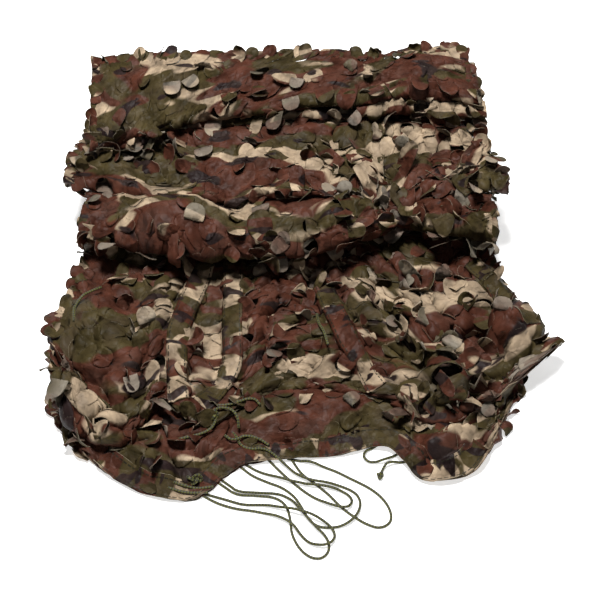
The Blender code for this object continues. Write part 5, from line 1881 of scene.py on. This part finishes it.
def knot_path(middle, size):
    """A trefoil knot of a given size, less the cord's thickness."""
    t = np.linspace(0.0, 2 * math.pi, KNOT_POINTS)
    loop = np.stack([np.sin(t) + 2 * np.sin(2 * t), np.cos(t) - 2 * np.cos(2 * t),
                     -np.sin(3 * t)], axis=1)
    loop = loop / np.ptp(loop, axis=0) * (size - CORD_DIAMETER)
    return loop - (loop.max(axis=0) + loop.min(axis=0)) / 2 + middle


shown_pile = Pile([grid_tree(cloth)], pile.cords)
knots = {}
for name in KNOT_NODES:
    low, high = np.array(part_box(name))
    middle = (low + high) / 2
    middle[2] += max(0.0, shown_pile.top(*middle[:2]) - low[2])
    knots[name], _ = cord_piece(name, knot_path(middle, high - low), name)
tail_end = cord_lines["cord_right_tail"][-1].copy()
tail_end[2] = TAIL_KNOT_SIZE[2] / 2 + CORD_OFF_FLOOR
knots["cord_right_tail"], _ = cord_piece("tail_knot", knot_path(tail_end, TAIL_KNOT_SIZE))

# %% [markdown]
# ## The short ends round the knots
# The tie's ends are wound round the gathered edge and tucked back into the leaves. Each is a
# short cord laid on the crumpled cloth, from a knot or a hole of the net to another one.

# %% Short cords on the cloth
TIE_ENDS = in_metres({
    "tie_end_right": [(-104, -168), (-95, -165), (-83, -167), (-74, -176), (-72, -188)],
    "tie_end_thin": [(-98, -160), (-81, -159), (-66, -153), (-55, -151), (-47, -158)],
    "tie_end_left": [(-144, -208), (-130, -204), (-117, -200), (-102, -190), (-99, -176)],
    "tie_end_arch": [(-88, -196), (-78, -202), (-64, -196), (-48, -200), (-36, -208)],
    "tie_wrap_front": [(-150, -264), (-136, -269), (-120, -271), (-104, -270)],
    "tie_wrap_back": [(-144, -258), (-130, -263), (-114, -265), (-98, -262)],
})
for name, route in TIE_ENDS.items():
    cord_pieces[name], cord_lines[name] = cord_piece(name, laid_cord(route, shown_pile))

# %% [markdown]
# ## What each cord is
# All are the same limp cord, lying loose. It leaves the net at its first point and ends in
# the net again, apart from the right tail, which ends in its own knot.

# %% Count the cords and knots
for name, piece in cord_pieces.items():
    line = cord_lines[name]
print(len(cord_pieces), "cords,", len(knots), "knots")

# %% [markdown]
# ## Floor and light
# A pale floor and a few large soft lights from above, as in a light tent: the tops of the
# folds are bright, and only the deep gaps go dark.

# %% The floor, the sky and the lamps
FLOOR_SIZE = 12.0
FLOOR_GLOW = 0.60  # as a white sheet that is lit from below
SKY_STRENGTH = 0.016

floor_material, _, floor_shader = new_material("white_studio_floor", 0.9)
floor_shader.inputs["Base Color"].default_value = linear("f4f4f2")
floor_shader.inputs["Emission Color"].default_value = linear("ffffff")
floor_shader.inputs["Emission Strength"].default_value = FLOOR_GLOW
bpy.ops.mesh.primitive_plane_add(size=FLOOR_SIZE)
floor = bpy.context.object
floor.name = "floor"
floor.data.materials.append(floor_material)

world = bpy.data.worlds.new("studio")
bpy.context.scene.world = world
world.use_nodes = True
world.node_tree.nodes["Background"].inputs[0].default_value = (1.0, 1.0, 1.0, 1.0)
world.node_tree.nodes["Background"].inputs[1].default_value = SKY_STRENGTH

Lamp = namedtuple("Lamp", "name place size power")
LAMPS = [
    Lamp("key", (-0.20, 0.02, 2.1), 0.42, 77.0),
    Lamp("fill", (0.3, -1.5, 1.5), 0.9, 3.0),
    Lamp("back", (0.4, 1.6, 1.6), 1.2, 8.0),
]
for lamp in LAMPS:
    light = bpy.data.lights.new(lamp.name, "AREA")
    light.size = lamp.size
    light.energy = lamp.power
    piece = bpy.data.objects.new(lamp.name, light)
    piece.location = lamp.place
    piece.rotation_euler = (-Vector(lamp.place)).to_track_quat("-Z", "Y").to_euler()
    bpy.context.scene.collection.objects.link(piece)
bpy.context.scene.view_settings.view_transform = "Standard"
